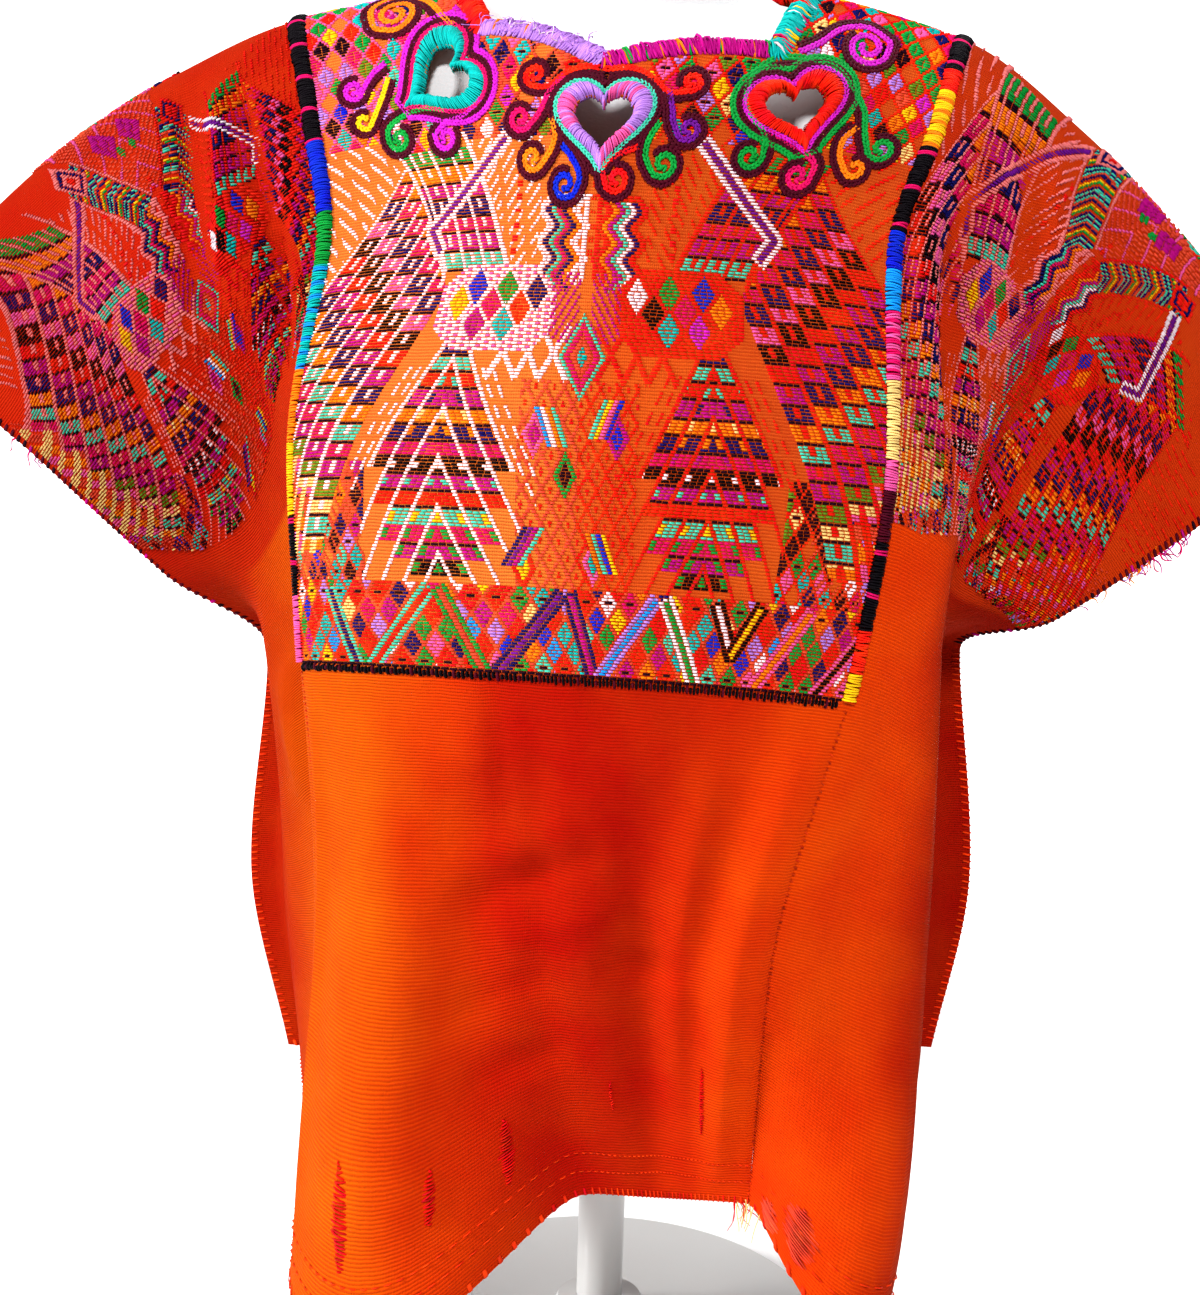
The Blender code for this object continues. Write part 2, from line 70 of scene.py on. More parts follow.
ahead = Vector((-sin(TURN) * cos(LOOK_DOWN), cos(TURN) * cos(LOOK_DOWN), -sin(LOOK_DOWN)))
level = Vector((cos(TURN), sin(TURN), 0))
above = level.cross(ahead)
right = level * cos(LEAN) + above * sin(LEAN)
upward = above * cos(LEAN) - level * sin(LEAN)

camera_data = bpy.data.cameras.new("camera")
camera_data.sensor_fit = "HORIZONTAL"
camera_data.sensor_width = SENSOR_WIDTH
camera_data.lens = SENSOR_WIDTH * FOCAL_LENGTH / PICTURE_WIDTH
camera = placed("camera", camera_data)
camera.matrix_world = Matrix.Translation(EYE) @ Matrix((right, upward, -ahead)).transposed().to_4x4()
bpy.context.scene.camera = camera
print("lens", round(camera_data.lens, 2), "mm")

# %% [markdown]
# The worn shape is a net of a few guides: sections down the cloth, and across them the seam, the ridge
# and the valley of each side's fold and the free edge.  Smooth curves through so few points drape more
# quietly than a cloth simulation, and they stay exactly on the solids that they dress.

# %% Sections of the worn blouse
CENTRE_HALF = 0.165
SIDE_WIDTH = 0.215
LENGTH = 0.610
WALL = 0.0020
GAP = 0.0003

Section = namedtuple("Section", "t seam ridge valley edge")
Middle = namedtuple("Middle", "t x y z")
Flare = namedtuple("Flare", "name s half_width t_from t_to out down")
Heart = namedtuple("Heart", "name s t turn half_width")

CENTRE_SECTIONS = [Middle(*row) for row in (
    (-0.610, 0.000, 0.172, 0.170),
    (-0.480, 0.000, 0.158, 0.292),
    (-0.320, 0.000, 0.139, 0.450),
    (-0.240, 0.000, 0.130, 0.528),
    (-0.140, 0.000, 0.112, 0.622),
    (-0.070, 0.002, 0.092, 0.684),
    (0.000, 0.002, 0.018, 0.737),
    (0.070, 0.002, -0.112, 0.692),
    (0.140, 0.002, -0.150, 0.632),
    (0.240, 0.002, -0.178, 0.538),
    (0.320, 0.003, -0.182, 0.459),
    (0.480, 0.008, -0.174, 0.300),
    (0.610, 0.022, -0.160, 0.174),
)]
LEFT_ARM_SECTIONS = [Section(*row) for row in (  # the wearer's left arm, +X
    (-0.610, (0.138, 0.152, 0.165), (0.168, 0.122, 0.165), (0.150, 0.055, 0.170), (0.172, 0.000, 0.195)),
    (-0.480, (0.146, 0.140, 0.292), (0.172, 0.108, 0.288), (0.158, 0.050, 0.275), (0.186, 0.000, 0.290)),
    (-0.320, (0.151, 0.122, 0.450), (0.176, 0.090, 0.432), (0.169, 0.047, 0.395), (0.174, 0.000, 0.411)),
    (-0.240, (0.154, 0.108, 0.528), (0.188, 0.084, 0.500), (0.198, 0.055, 0.462), (0.215, 0.036, 0.439)),
    (-0.140, (0.158, 0.078, 0.618), (0.213, 0.074, 0.577), (0.250, 0.062, 0.536), (0.267, 0.047, 0.479)),
    (-0.070, (0.160, 0.044, 0.676), (0.216, 0.048, 0.632), (0.263, 0.044, 0.588), (0.305, 0.040, 0.510)),
    (0.000, (0.158, 0.000, 0.709), (0.216, 0.004, 0.669), (0.262, 0.008, 0.626), (0.340, 0.016, 0.536)),
    (0.070, (0.149, -0.052, 0.672), (0.205, -0.040, 0.637), (0.250, -0.034, 0.600), (0.310, -0.026, 0.512)),
    (0.140, (0.134, -0.100, 0.618), (0.183, -0.086, 0.592), (0.222, -0.054, 0.566), (0.274, -0.044, 0.482)),
    (0.240, (0.139, -0.141, 0.528), (0.171, -0.112, 0.502), (0.170, -0.058, 0.474), (0.219, -0.046, 0.440)),
    (0.320, (0.130, -0.149, 0.447), (0.165, -0.113, 0.419), (0.160, -0.055, 0.400), (0.174, 0.000, 0.411)),
    (0.480, (0.097, -0.164, 0.293), (0.163, -0.122, 0.258), (0.152, -0.056, 0.250), (0.186, 0.000, 0.290)),
    (0.610, (0.091, -0.158, 0.175), (0.147, -0.152, 0.125), (0.144, -0.066, 0.150), (0.172, 0.000, 0.195)),
)]
RIGHT_ARM_SECTIONS = [Section(*row) for row in (  # the wearer's right arm, -X
    (-0.610, (-0.138, 0.152, 0.165), (-0.168, 0.122, 0.165), (-0.150, 0.055, 0.160), (-0.174, 0.000, 0.166)),
    (-0.480, (-0.146, 0.140, 0.292), (-0.172, 0.108, 0.288), (-0.160, 0.050, 0.268), (-0.194, 0.000, 0.270)),
    (-0.320, (-0.153, 0.122, 0.450), (-0.183, 0.090, 0.432), (-0.179, 0.048, 0.388), (-0.184, 0.000, 0.388)),
    (-0.240, (-0.156, 0.108, 0.528), (-0.196, 0.084, 0.504), (-0.208, 0.058, 0.462), (-0.231, 0.042, 0.437)),
    (-0.140, (-0.162, 0.078, 0.620), (-0.215, 0.074, 0.585), (-0.258, 0.064, 0.552), (-0.291, 0.044, 0.500)),
    (-0.070, (-0.164, 0.042, 0.678), (-0.222, 0.046, 0.643), (-0.275, 0.042, 0.612), (-0.332, 0.018, 0.538)),
    (0.000, (-0.166, 0.000, 0.709), (-0.224, -0.002, 0.683), (-0.280, -0.010, 0.647), (-0.366, -0.030, 0.566)),
    (0.070, (-0.147, -0.054, 0.668), (-0.209, -0.052, 0.642), (-0.262, -0.050, 0.606), (-0.327, -0.058, 0.529)),
    (0.140, (-0.129, -0.098, 0.612), (-0.184, -0.092, 0.586), (-0.234, -0.080, 0.550), (-0.279, -0.064, 0.492)),
    (0.240, (-0.139, -0.120, 0.522), (-0.154, -0.082, 0.500), (-0.182, -0.054, 0.460), (-0.225, -0.046, 0.436)),
    (0.320, (-0.134, -0.129, 0.442), (-0.146, -0.070, 0.422), (-0.174, -0.037, 0.381), (-0.184, 0.000, 0.388)),
    (0.480, (-0.123, -0.140, 0.290), (-0.138, -0.068, 0.270), (-0.166, -0.030, 0.254), (-0.194, 0.000, 0.270)),
    (0.610, (-0.133, -0.152, 0.112), (-0.138, -0.080, 0.130), (-0.158, -0.032, 0.150), (-0.174, 0.000, 0.166)),
)]
RIDGE_OFFSET = 0.060  # the ridge's and the valley's places across a side panel
VALLEY_OFFSET = 0.116
ARMHOLE = 0.320  # shoulder fold to the top of the side seam
FIN_WIDTH = 0.010  # the two selvedges lie flat together at the side seam

# Soft flutes that open towards the hem; out along the cloth's normal, down along -Z.
FLARES = (
    Flare("front_right_lobe", -0.092, 0.078, 0.40, 0.64, 0.050, 0.030),
    Flare("front_left_lobe", 0.201, 0.036, 0.44, 0.64, 0.042, 0.012),
    Flare("back_right_flute", -0.100, 0.070, -0.30, -0.64, 0.024, 0.000),
    Flare("back_left_flute", 0.085, 0.065, -0.26, -0.64, 0.028, 0.000),
)

# %% [markdown]
# The net is worked out once, every 2.5 mm of cloth.  Looking a point up in it is then quick enough for
# the tens of thousands of small floats of the brocade.

# %% The net of the worn cloth
def smooth_through(keys, rows, x):
    """Points of the smooth curves through the rows of a table, which never swing past a row.

    keys has K values, rows is (N, K, 3) and x has N values: one curve and one place on it each.
    """
    spans = np.diff(keys)
    rises = np.diff(rows, axis=1) / spans[None, :, None]
    before, after = rises[:, :-1], rises[:, 1:]
    weight_before = (2 * spans[1:] + spans[:-1])[None, :, None]
    weight_after = (spans[1:] + 2 * spans[:-1])[None, :, None]
    same_way = before * after > 0
    safe_before = np.where(same_way, before, 1.0)
    safe_after = np.where(same_way, after, 1.0)
    middle = (weight_before + weight_after) / (weight_before / safe_before + weight_after / safe_after)
    slopes = np.concatenate([rises[:, :1], np.where(same_way, middle, 0.0), rises[:, -1:]], axis=1)
    x = np.clip(x, keys[0], keys[-1])
    k = np.clip(np.searchsorted(keys, x, side="right") - 1, 0, len(keys) - 2)
    row = np.arange(len(x))
    span = spans[k][:, None]
    u = (x[:, None] - keys[k][:, None]) / span
    return (
        rows[row, k] * (2 * u**3 - 3 * u**2 + 1)
        + slopes[row, k] * span * (u**3 - 2 * u**2 + u)
        + rows[row, k + 1] * (3 * u**2 - 2 * u**3)
        + slopes[row, k + 1] * span * (u**3 - u**2)
    )


def arm_guides(sections, side):
    """Seam, ridge, valley, fin and edge of one side panel, as rows of points along the cloth."""
    seam, ridge, valley, edge = np.array([row[1:] for row in sections]).swapaxes(0, 1)
    fin = edge + (valley - edge) * FIN_WIDTH / (SIDE_WIDTH - VALLEY_OFFSET)
    for k, row in enumerate(sections):
        if abs(row.t) >= ARMHOLE:  # below the armhole the two edges are sewn together
            edge[k, 1] = -np.sign(row.t) * (WALL + GAP / 2)
            fin[k] = edge[k] - (side * FIN_WIDTH, 0, 0)
    return [seam, ridge, valley, fin, edge]


def guide_net():
    """Every guide from the right arm's edge to the left arm's, as (guide, section, xyz)."""
    middle = np.array([row[1:] for row in CENTRE_SECTIONS])
    right = arm_guides(RIGHT_ARM_SECTIONS, -1)
    left = arm_guides(LEFT_ARM_SECTIONS, 1)
    return np.array(right[::-1] + [middle] + left)


SIDE_OFFSETS = (0.0, RIDGE_OFFSET, VALLEY_OFFSET, SIDE_WIDTH - FIN_WIDTH, SIDE_WIDTH)
S_KEYS = np.array(
    [-(CENTRE_HALF + offset) for offset in reversed(SIDE_OFFSETS)]
    + [0.0]
    + [CENTRE_HALF + offset for offset in SIDE_OFFSETS]
)
T_KEYS = np.array([row.t for row in CENTRE_SECTIONS])
GUIDES = guide_net()


def smooth_through_rows(rows, keys, x):
    """One smooth curve across each row's points, read at every x: (rows, x, xyz)."""
    return np.stack([smooth_through(keys, rows, np.full(len(rows), value)) for value in x], axis=1)


def ease(x):
    x = np.clip(x, 0.0, 1.0)
    return x * x * (3 - 2 * x)


NET_STEP = 0.0025
S_LINE = np.linspace(S_KEYS[0], S_KEYS[-1], round(2 * S_KEYS[-1] / NET_STEP) + 1)
T_LINE = np.linspace(T_KEYS[0], T_KEYS[-1], round(2 * T_KEYS[-1] / NET_STEP) + 1)
S_NET, T_NET = np.meshgrid(S_LINE, T_LINE)


def net_normals(points):
    normals = np.cross(np.gradient(points, axis=0), np.gradient(points, axis=1))
    return normals / np.linalg.norm(normals, axis=2, keepdims=True)


down_the_cloth = [smooth_through(T_KEYS, np.broadcast_to(g, (len(T_LINE), *g.shape)), T_LINE) for g in GUIDES]
net = smooth_through_rows(np.stack(down_the_cloth, axis=1), S_KEYS, S_LINE)
net_out = net_normals(net)
for flare in FLARES:
    reach = np.clip(1 - ((S_NET - flare.s) / flare.half_width) ** 2, 0, 1) ** 2
    swell = (ease((T_NET - flare.t_from) / (flare.t_to - flare.t_from)) * reach)[..., None]
    net = net + net_out * flare.out * swell - np.array((0, 0, flare.down)) * swell
print("net of", net.shape[0], "by", net.shape[1], "points")

# %% [markdown]
# Worn cloth is never as smooth as its guides.  Each crease is a line across the cloth with a width and a
# depth: a soft trough where the depth is negative, a soft ridge where it is positive, and shallow at
# both ends.  They are placed one by one, no two alike, because evenly spaced folds look machined.

# %% Creases
Crease = namedtuple("Crease", "s_from t_from s_to t_to width depth")
CREASES = [Crease(*row) for row in (
    # the front, below the yoke
    (-0.039, 0.347, -0.039, 0.430, 0.0045, -0.0027),
    (0.000, 0.350, 0.046, 0.369, 0.0050, -0.0026),
    (-0.042, 0.388, 0.012, 0.398, 0.0060, -0.0015),
    (-0.066, 0.459, 0.024, 0.428, 0.0070, -0.0041),
    (-0.078, 0.446, 0.002, 0.415, 0.0085, 0.0031),
    (0.010, 0.487, 0.122, 0.483, 0.0075, -0.0036),
    (0.098, 0.476, 0.162, 0.490, 0.0090, 0.0024),
    (-0.064, 0.530, -0.010, 0.532, 0.0065, -0.0029),
    (-0.118, 0.529, -0.058, 0.518, 0.0055, 0.0017),
    (-0.106, 0.365, -0.100, 0.575, 0.0300, 0.0091),
    (-0.050, 0.390, -0.068, 0.600, 0.0230, -0.0087),
    (0.048, 0.392, 0.062, 0.606, 0.0300, -0.0074),
    (0.147, 0.365, 0.134, 0.604, 0.0160, 0.0078),
    (-0.152, 0.355, -0.150, 0.600, 0.0065, 0.0034),
    (-0.020, 0.352, -0.024, 0.540, 0.0120, -0.0036),
    (0.094, 0.380, 0.088, 0.560, 0.0140, 0.0038),
    (-0.048, 0.476, 0.044, 0.452, 0.0060, 0.0024),
    (-0.082, 0.500, -0.012, 0.494, 0.0060, -0.0024),
    (0.1655, 0.350, 0.1655, 0.606, 0.0032, -0.0020),
    (0.1595, 0.352, 0.1590, 0.604, 0.0040, 0.0016),
    (-0.1655, 0.352, -0.1655, 0.606, 0.0032, -0.0018),
    # the side lengths, below the yoke
    (0.191, 0.330, 0.194, 0.600, 0.0110, -0.0054),
    (0.222, 0.300, 0.230, 0.560, 0.0090, 0.0044),
    (-0.256, 0.322, -0.246, 0.410, 0.0080, 0.0061),
    (-0.238, 0.330, -0.231, 0.430, 0.0065, -0.0044),
    (-0.214, 0.360, -0.208, 0.580, 0.0110, -0.0048),
    # the right sleeve
    (-0.219, 0.022, -0.2275, 0.155, 0.0090, -0.0078),
    (-0.204, 0.030, -0.215, 0.135, 0.0075, 0.0061),
    (-0.194, 0.040, -0.186, 0.210, 0.0080, -0.0078),
    (-0.250, 0.052, -0.272, 0.215, 0.0200, 0.0045),
    (-0.300, 0.080, -0.312, 0.240, 0.0160, -0.0045),
    (-0.341, 0.050, -0.346, 0.190, 0.0140, 0.0036),
    # the left sleeve
    (0.187, 0.060, 0.204, 0.215, 0.0075, -0.0085),
    (0.178, 0.075, 0.188, 0.220, 0.0080, 0.0051),
    (0.205, 0.050, 0.235, 0.135, 0.0075, -0.0075),
    (0.219, 0.045, 0.241, 0.140, 0.0065, 0.0054),
    (0.265, 0.055, 0.281, 0.210, 0.0200, -0.0042),
    (0.301, 0.035, 0.311, 0.180, 0.0180, 0.0045),
    (0.346, 0.045, 0.356, 0.170, 0.0140, -0.0033),
    # the back
    (0.028, -0.260, 0.016, -0.600, 0.0220, -0.0060),
    (-0.062, -0.310, -0.078, -0.604, 0.0240, 0.0083),
    (0.092, -0.335, 0.104, -0.590, 0.0200, 0.0074),
    (-0.122, -0.300, -0.128, -0.585, 0.0130, -0.0042),
    (-0.130, -0.352, -0.018, -0.440, 0.0090, -0.0037),
    (0.036, -0.452, 0.150, -0.380, 0.0100, -0.0036),
    (-0.040, -0.520, 0.070, -0.506, 0.0080, 0.0027),
    (0.004, -0.080, 0.012, -0.220, 0.0160, -0.0030),
    (0.196, -0.060, 0.204, -0.240, 0.0090, -0.0068),
    (0.226, -0.050, 0.248, -0.190, 0.0110, 0.0054),
    (0.300, -0.060, 0.312, -0.200, 0.0170, -0.0042),
    (-0.198, -0.050, -0.208, -0.225, 0.0085, -0.0071),
    (-0.232, -0.055, -0.250, -0.180, 0.0120, 0.0048),
    (-0.310, -0.070, -0.304, -0.215, 0.0150, -0.0039),
    (0.232, -0.330, 0.226, -0.570, 0.0110, -0.0051),
    (-0.236, -0.320, -0.228, -0.590, 0.0120, 0.0042),
)]


def distance_to_run(s, t, crease):
    run_s, run_t = crease.s_to - crease.s_from, crease.t_to - crease.t_from
    square = run_s**2 + run_t**2
    along = ((s - crease.s_from) * run_s + (t - crease.t_from) * run_t) / square
    off = np.abs((s - crease.s_from) * run_t - (t - crease.t_from) * run_s) / np.sqrt(square)
    return along, off


relief = np.zeros(net.shape[:2])
for crease in CREASES:
    along, off = distance_to_run(S_NET, T_NET, crease)
    fade = np.clip(4 * along * (1 - along), 0, 1) ** 0.7
    relief += crease.depth * fade * np.exp(-((off / crease.width) ** 2))
net = net + net_normals(net) * relief[..., None]
net_out = net_normals(net)
print("creases move the cloth by", round(1000 * float(np.abs(relief).max()), 1), "mm at most")


# %% From flat to worn
def on_cloth(s, t, height):
    """Worn places of flat cloth points, height being measured out from the solids' outer face."""
    s, t, height = np.broadcast_arrays(np.asarray(s, float), np.asarray(t, float), np.asarray(height, float))
    col = np.clip((s - S_LINE[0]) / (S_LINE[1] - S_LINE[0]), 0, len(S_LINE) - 1.001)
    row = np.clip((t - T_LINE[0]) / (T_LINE[1] - T_LINE[0]), 0, len(T_LINE) - 1.001)
    c, r = col.astype(int), row.astype(int)
    u, v = (col - c)[..., None], (row - r)[..., None]

    def read(field):
        near = field[r, c] * (1 - u) + field[r, c + 1] * u
        far = field[r + 1, c] * (1 - u) + field[r + 1, c + 1] * u
        return near * (1 - v) + far * v

    return read(net) + read(net_out) * height[..., None]


print("the shoulder fold is", round(float(on_cloth(0.165, 0, 0)[2]), 3), "m above the floor")

# %% [markdown]
# Several finishes share the same effects: the ribs of the weave, the nap that stands off cotton, the
# twist of a thread and the slow drift of a dye.  Each effect is one shader node group with named
# inputs, so that it is tuned once and placed in every material with its own values.

# %% Node group helpers
def new_group(name, outputs, **inputs):
    """A node group with named outputs and inputs; those called Colour are colours."""
    made = bpy.data.node_groups.new(name, "ShaderNodeTree")
    kinds = {title: "NodeSocketFloat" for title in (*outputs, *inputs)}
    kinds["Colour"] = "NodeSocketColor"
    for title, value in inputs.items():
        socket = made.interface.new_socket(name=title, in_out="INPUT", socket_type=kinds[title])
        socket.default_value = value
    for title in outputs:
        made.interface.new_socket(name=title, in_out="OUTPUT", socket_type=kinds[title])
    start = made.nodes.new("NodeGroupInput")
    end = made.nodes.new("NodeGroupOutput")
    return made, start, end


def add(tree, kind, settings=None, **values):
    """A node with its settings and its unlinked inputs, by the inputs' names."""
    node = tree.nodes.new(kind)
    for key, value in (settings or {}).items():
        setattr(node, key, value)
    for key, value in values.items():
        node.inputs[key.replace("_", " ")].default_value = value
    return node


def maths(tree, operation, first, second=None, clamp=False):
    node = tree.nodes.new("ShaderNodeMath")
    node.operation = operation
    node.use_clamp = clamp
    for slot_number, value in enumerate((first, second)):
        if value is None:
            continue
        if isinstance(value, (int, float)):
            node.inputs[slot_number].default_value = value
        else:
            tree.links.new(value, node.inputs[slot_number])
    return node.outputs[0]


def noise(tree, where=None, **values):
    """A noise texture over a map, or else over the object's own coordinates."""
    made = add(tree, "ShaderNodeTexNoise", **values)
    if where is None:
        where = add(tree, "ShaderNodeTexCoord").outputs["Object"]
    tree.links.new(where, made.inputs["Vector"])
    return made


def mixed(tree, amount, first, second):
    """Colour first, turning to colour second as amount rises."""
    node = tree.nodes.new("ShaderNodeMix")
    node.data_type = "RGBA"
    sockets = {"Factor": node.inputs[0], "A": node.inputs[6], "B": node.inputs[7]}
    for key, value in (("Factor", amount), ("A", first), ("B", second)):
        if isinstance(value, bpy.types.NodeSocket):
            tree.links.new(value, sockets[key])
        elif isinstance(value, tuple):
            sockets[key].default_value = (*value, 1.0)
        else:
            sockets[key].default_value = value
    return node.outputs[2]


# %% Ribs of the weave
# The weft lies in ribs across the warp.  The pattern follows the cloth map, whose two numbers are
# s and t in metres, so a rib keeps its width wherever the cloth bends.
RIB = 0.0015  # from one weft rib to the next
weft_ribs, start, end = new_group("weft ribs", ("Height", "Crown"), Pitch=RIB, Waver=0.3, Warp=0.0011)
cloth_map = add(weft_ribs, "ShaderNodeUVMap", {"uv_map": "cloth"})
split = add(weft_ribs, "ShaderNodeSeparateXYZ")
weft_ribs.links.new(cloth_map.outputs[0], split.inputs[0])
drift = noise(weft_ribs, cloth_map.outputs[0], Scale=55.0, Detail=2.0)
shift = maths(weft_ribs, "SUBTRACT", drift.outputs[0], 0.5)
shift = maths(weft_ribs, "MULTIPLY", shift, start.outputs["Waver"])
ribs = maths(weft_ribs, "ADD", maths(weft_ribs, "DIVIDE", split.outputs[1], start.outputs["Pitch"]), shift)
wave = maths(weft_ribs, "SINE", maths(weft_ribs, "MULTIPLY", ribs, 2 * pi))
crown = maths(weft_ribs, "ADD", maths(weft_ribs, "MULTIPLY", wave, 0.5), 0.5)
warps = maths(weft_ribs, "DIVIDE", split.outputs[0], start.outputs["Warp"])
warp_wave = maths(weft_ribs, "SINE", maths(weft_ribs, "MULTIPLY", warps, 2 * pi))
fine = maths(weft_ribs, "MULTIPLY", warp_wave, 0.12)
weft_ribs.links.new(maths(weft_ribs, "ADD", crown, fine), end.inputs["Height"])
weft_ribs.links.new(crown, end.inputs["Crown"])

# %% Nap and dye
nap_group, start, end = new_group("nap", ("Height",), Size=900.0, Clump=160.0)
hairs, clumps = noise(nap_group, Detail=3.0, Roughness=0.7), noise(nap_group, Detail=2.0)
for node, size in ((hairs, "Size"), (clumps, "Clump")):
    nap_group.links.new(start.outputs[size], node.inputs["Scale"])
nap_group.links.new(maths(nap_group, "MULTIPLY", hairs.outputs[0], clumps.outputs[0]), end.inputs["Height"])

dye_group, start, end = new_group("dye drift", ("Colour",), Colour=(1, 1, 1, 1), Amount=0.2, Scale=12.0)
patches = noise(dye_group, Detail=3.0)
dye_group.links.new(start.outputs["Scale"], patches.inputs["Scale"])
swing = maths(dye_group, "SUBTRACT", patches.outputs[0], 0.5)
swing = maths(dye_group, "MULTIPLY", swing, start.outputs["Amount"])
tint = add(dye_group, "ShaderNodeHueSaturation")
dye_group.links.new(start.outputs["Colour"], tint.inputs["Color"])
dye_group.links.new(maths(dye_group, "ADD", swing, 1.0), tint.inputs["Value"])
hue = maths(dye_group, "ADD", maths(dye_group, "MULTIPLY", swing, 0.06), 0.5)
dye_group.links.new(hue, tint.inputs["Hue"])
dye_group.links.new(tint.outputs[0], end.inputs["Colour"])

# %% Twist of a thread
twist_group, start, end = new_group("thread twist", ("Height",), Strands=1400.0)
ply = noise(twist_group, Detail=2.0, Roughness=0.6)
twist_group.links.new(start.outputs["Strands"], ply.inputs["Scale"])
twist_group.links.new(ply.outputs[0], end.inputs["Height"])
print("shared effects:", [group.name for group in bpy.data.node_groups])


# %% Material helpers
SHEEN_ROUGHNESS = 0.5


def new_material(name, roughness, sheen=0.0, sheen_tint=(1.0, 1.0, 1.0), coat=0.0, gloss=0.5):
    """A material with its Principled shader, the constant finish set on the shader's own sockets."""
    made = bpy.data.materials.new(name)
    made.use_nodes = True
    shader = made.node_tree.nodes["Principled BSDF"]
    shader.inputs["Roughness"].default_value = roughness
    shader.inputs["Sheen Weight"].default_value = sheen
    shader.inputs["Sheen Roughness"].default_value = SHEEN_ROUGHNESS
    shader.inputs["Sheen Tint"].default_value = (*sheen_tint, 1.0)
    shader.inputs["Coat Weight"].default_value = coat
    shader.inputs["Specular IOR Level"].default_value = gloss
    return made, made.node_tree, shader


def use_group(tree, group, **values):
    node = tree.nodes.new("ShaderNodeGroup")
    node.node_tree = group
    for key, value in values.items():
        node.inputs[key.replace("_", " ")].default_value = value
    return node


def bump_from(tree, shader, height, strength, distance):
    bump = add(tree, "ShaderNodeBump", Strength=strength, Distance=distance)
    tree.links.new(height, bump.inputs["Height"])
    tree.links.new(bump.outputs[0], shader.inputs["Normal"])


def dye_into(tree, shader, source=None, **values):
    """The dye's drift put between a colour and the shader."""
    dyed = use_group(tree, dye_group, **values)
    if source is not None:
        tree.links.new(source, dyed.inputs["Colour"])
    tree.links.new(dyed.outputs["Colour"], shader.inputs["Base Color"])


def even_finish(name, colour, look, dye, grain, bump):
    """A plain finish: one colour that hardly drifts, and a fine grain."""
    made, tree, shader = new_material(name, **look)
    dye_into(tree, shader, Colour=(*colour, 1), **dye)
    bump_from(tree, shader, noise(tree, **grain).outputs[0], **bump)
    return made


def thread_finish(name, look, dye, strands, strength):
    """Twisted thread, which takes its colour from the colours kept in the mesh."""
    made, tree, shader = new_material(name, **look)
    own = add(tree, "ShaderNodeAttribute", {"attribute_name": "thread"})
    dye_into(tree, shader, own.outputs["Color"], **dye)
    twist = use_group(tree, twist_group, Strands=strands)
    bump_from(tree, shader, twist.outputs["Height"], strength, 0.0004)
    return made


# %% [markdown]
# The ground is a weft-faced cotton: ribs across, a little nap, a dye that is never quite even, and broad
# painted light and shade.  The brocaded yoke shows a yellower orange, because its ground threads are
# spread by the inlaid ones.

# %% Handwoven ground
# These stops paint the broad light and shade of the folds into the ground's colour: lit and yellower on
# the front's flanks, redder and darker down the middle of each length, darkest in the recess at the
# wearer's left side.
DYE_WITH_PAINTED_SHADE = (
    (-0.300, (0.34, 0.016, 0.0005)), (-0.230, (0.46, 0.070, 0.0010)), (-0.110, (0.52, 0.082, 0.0010)),
    (-0.072, (0.46, 0.034, 0.0005)), (-0.035, (0.34, 0.010, 0.0003)), (0.040, (0.34, 0.010, 0.0003)),
    (0.095, (0.44, 0.022, 0.0005)), (0.145, (0.56, 0.046, 0.0008)), (0.198, (0.56, 0.046, 0.0008)),
    (0.230, (0.27, 0.008, 0.0003)),
)
YOKE_DYES = ((0.58, 0.150, 0.026), (0.50, 0.078, 0.010))  # the centre's right half and left half
SIDE_DYES = ((0.34, 0.014, 0.0012), (0.42, 0.034, 0.003))  # the right side length and the left one
# Painted shade: the ground is darkened in the grooves between its ribs.
SHADE_BETWEEN_RIBS = (0.22, 0.004, 0.0)
GROOVE_SHADE = 0.45  # how much of the ground takes the darker colour between its ribs
YOKE_FOOT, SIDE_FOOT = 0.342, 0.256  # how far the brocade's ground reaches on centre and sides
ground, tree, shader = new_material(
    "handwoven ground", 0.9, sheen=0.06, sheen_tint=(1.0, 0.30, 0.04), gloss=0.05
)
ribs_node = use_group(tree, weft_ribs, Waver=1.1)
nap_node = use_group(tree, nap_group)
cloth_uv = add(tree, "ShaderNodeUVMap", {"uv_map": "cloth"})
parts = add(tree, "ShaderNodeSeparateXYZ")
tree.links.new(cloth_uv.outputs[0], parts.inputs[0])
how_far = maths(tree, "ABSOLUTE", parts.outputs[1])
side_length = maths(tree, "GREATER_THAN", maths(tree, "ABSOLUTE", parts.outputs[0]), CENTRE_HALF)
yoke_end = maths(tree, "SUBTRACT", YOKE_FOOT, maths(tree, "MULTIPLY", side_length, YOKE_FOOT - SIDE_FOOT))
below_yoke = maths(tree, "MULTIPLY", maths(tree, "SUBTRACT", how_far, yoke_end), 200.0, clamp=True)
left_half = maths(tree, "ADD", maths(tree, "MULTIPLY", parts.outputs[0], 25.0), 0.5, clamp=True)
left_side = maths(tree, "GREATER_THAN", parts.outputs[0], 0.0)
yoke = mixed(tree, side_length, mixed(tree, left_half, *YOKE_DYES), mixed(tree, left_side, *SIDE_DYES))
shade_wobble = noise(tree, cloth_uv.outputs[0], Scale=9.0, Detail=2.0)
waver = maths(tree, "MULTIPLY", maths(tree, "SUBTRACT", shade_wobble.outputs[0], 0.5), 0.06)
across = maths(tree, "ADD", maths(tree, "ADD", parts.outputs[0], 0.5), waver)
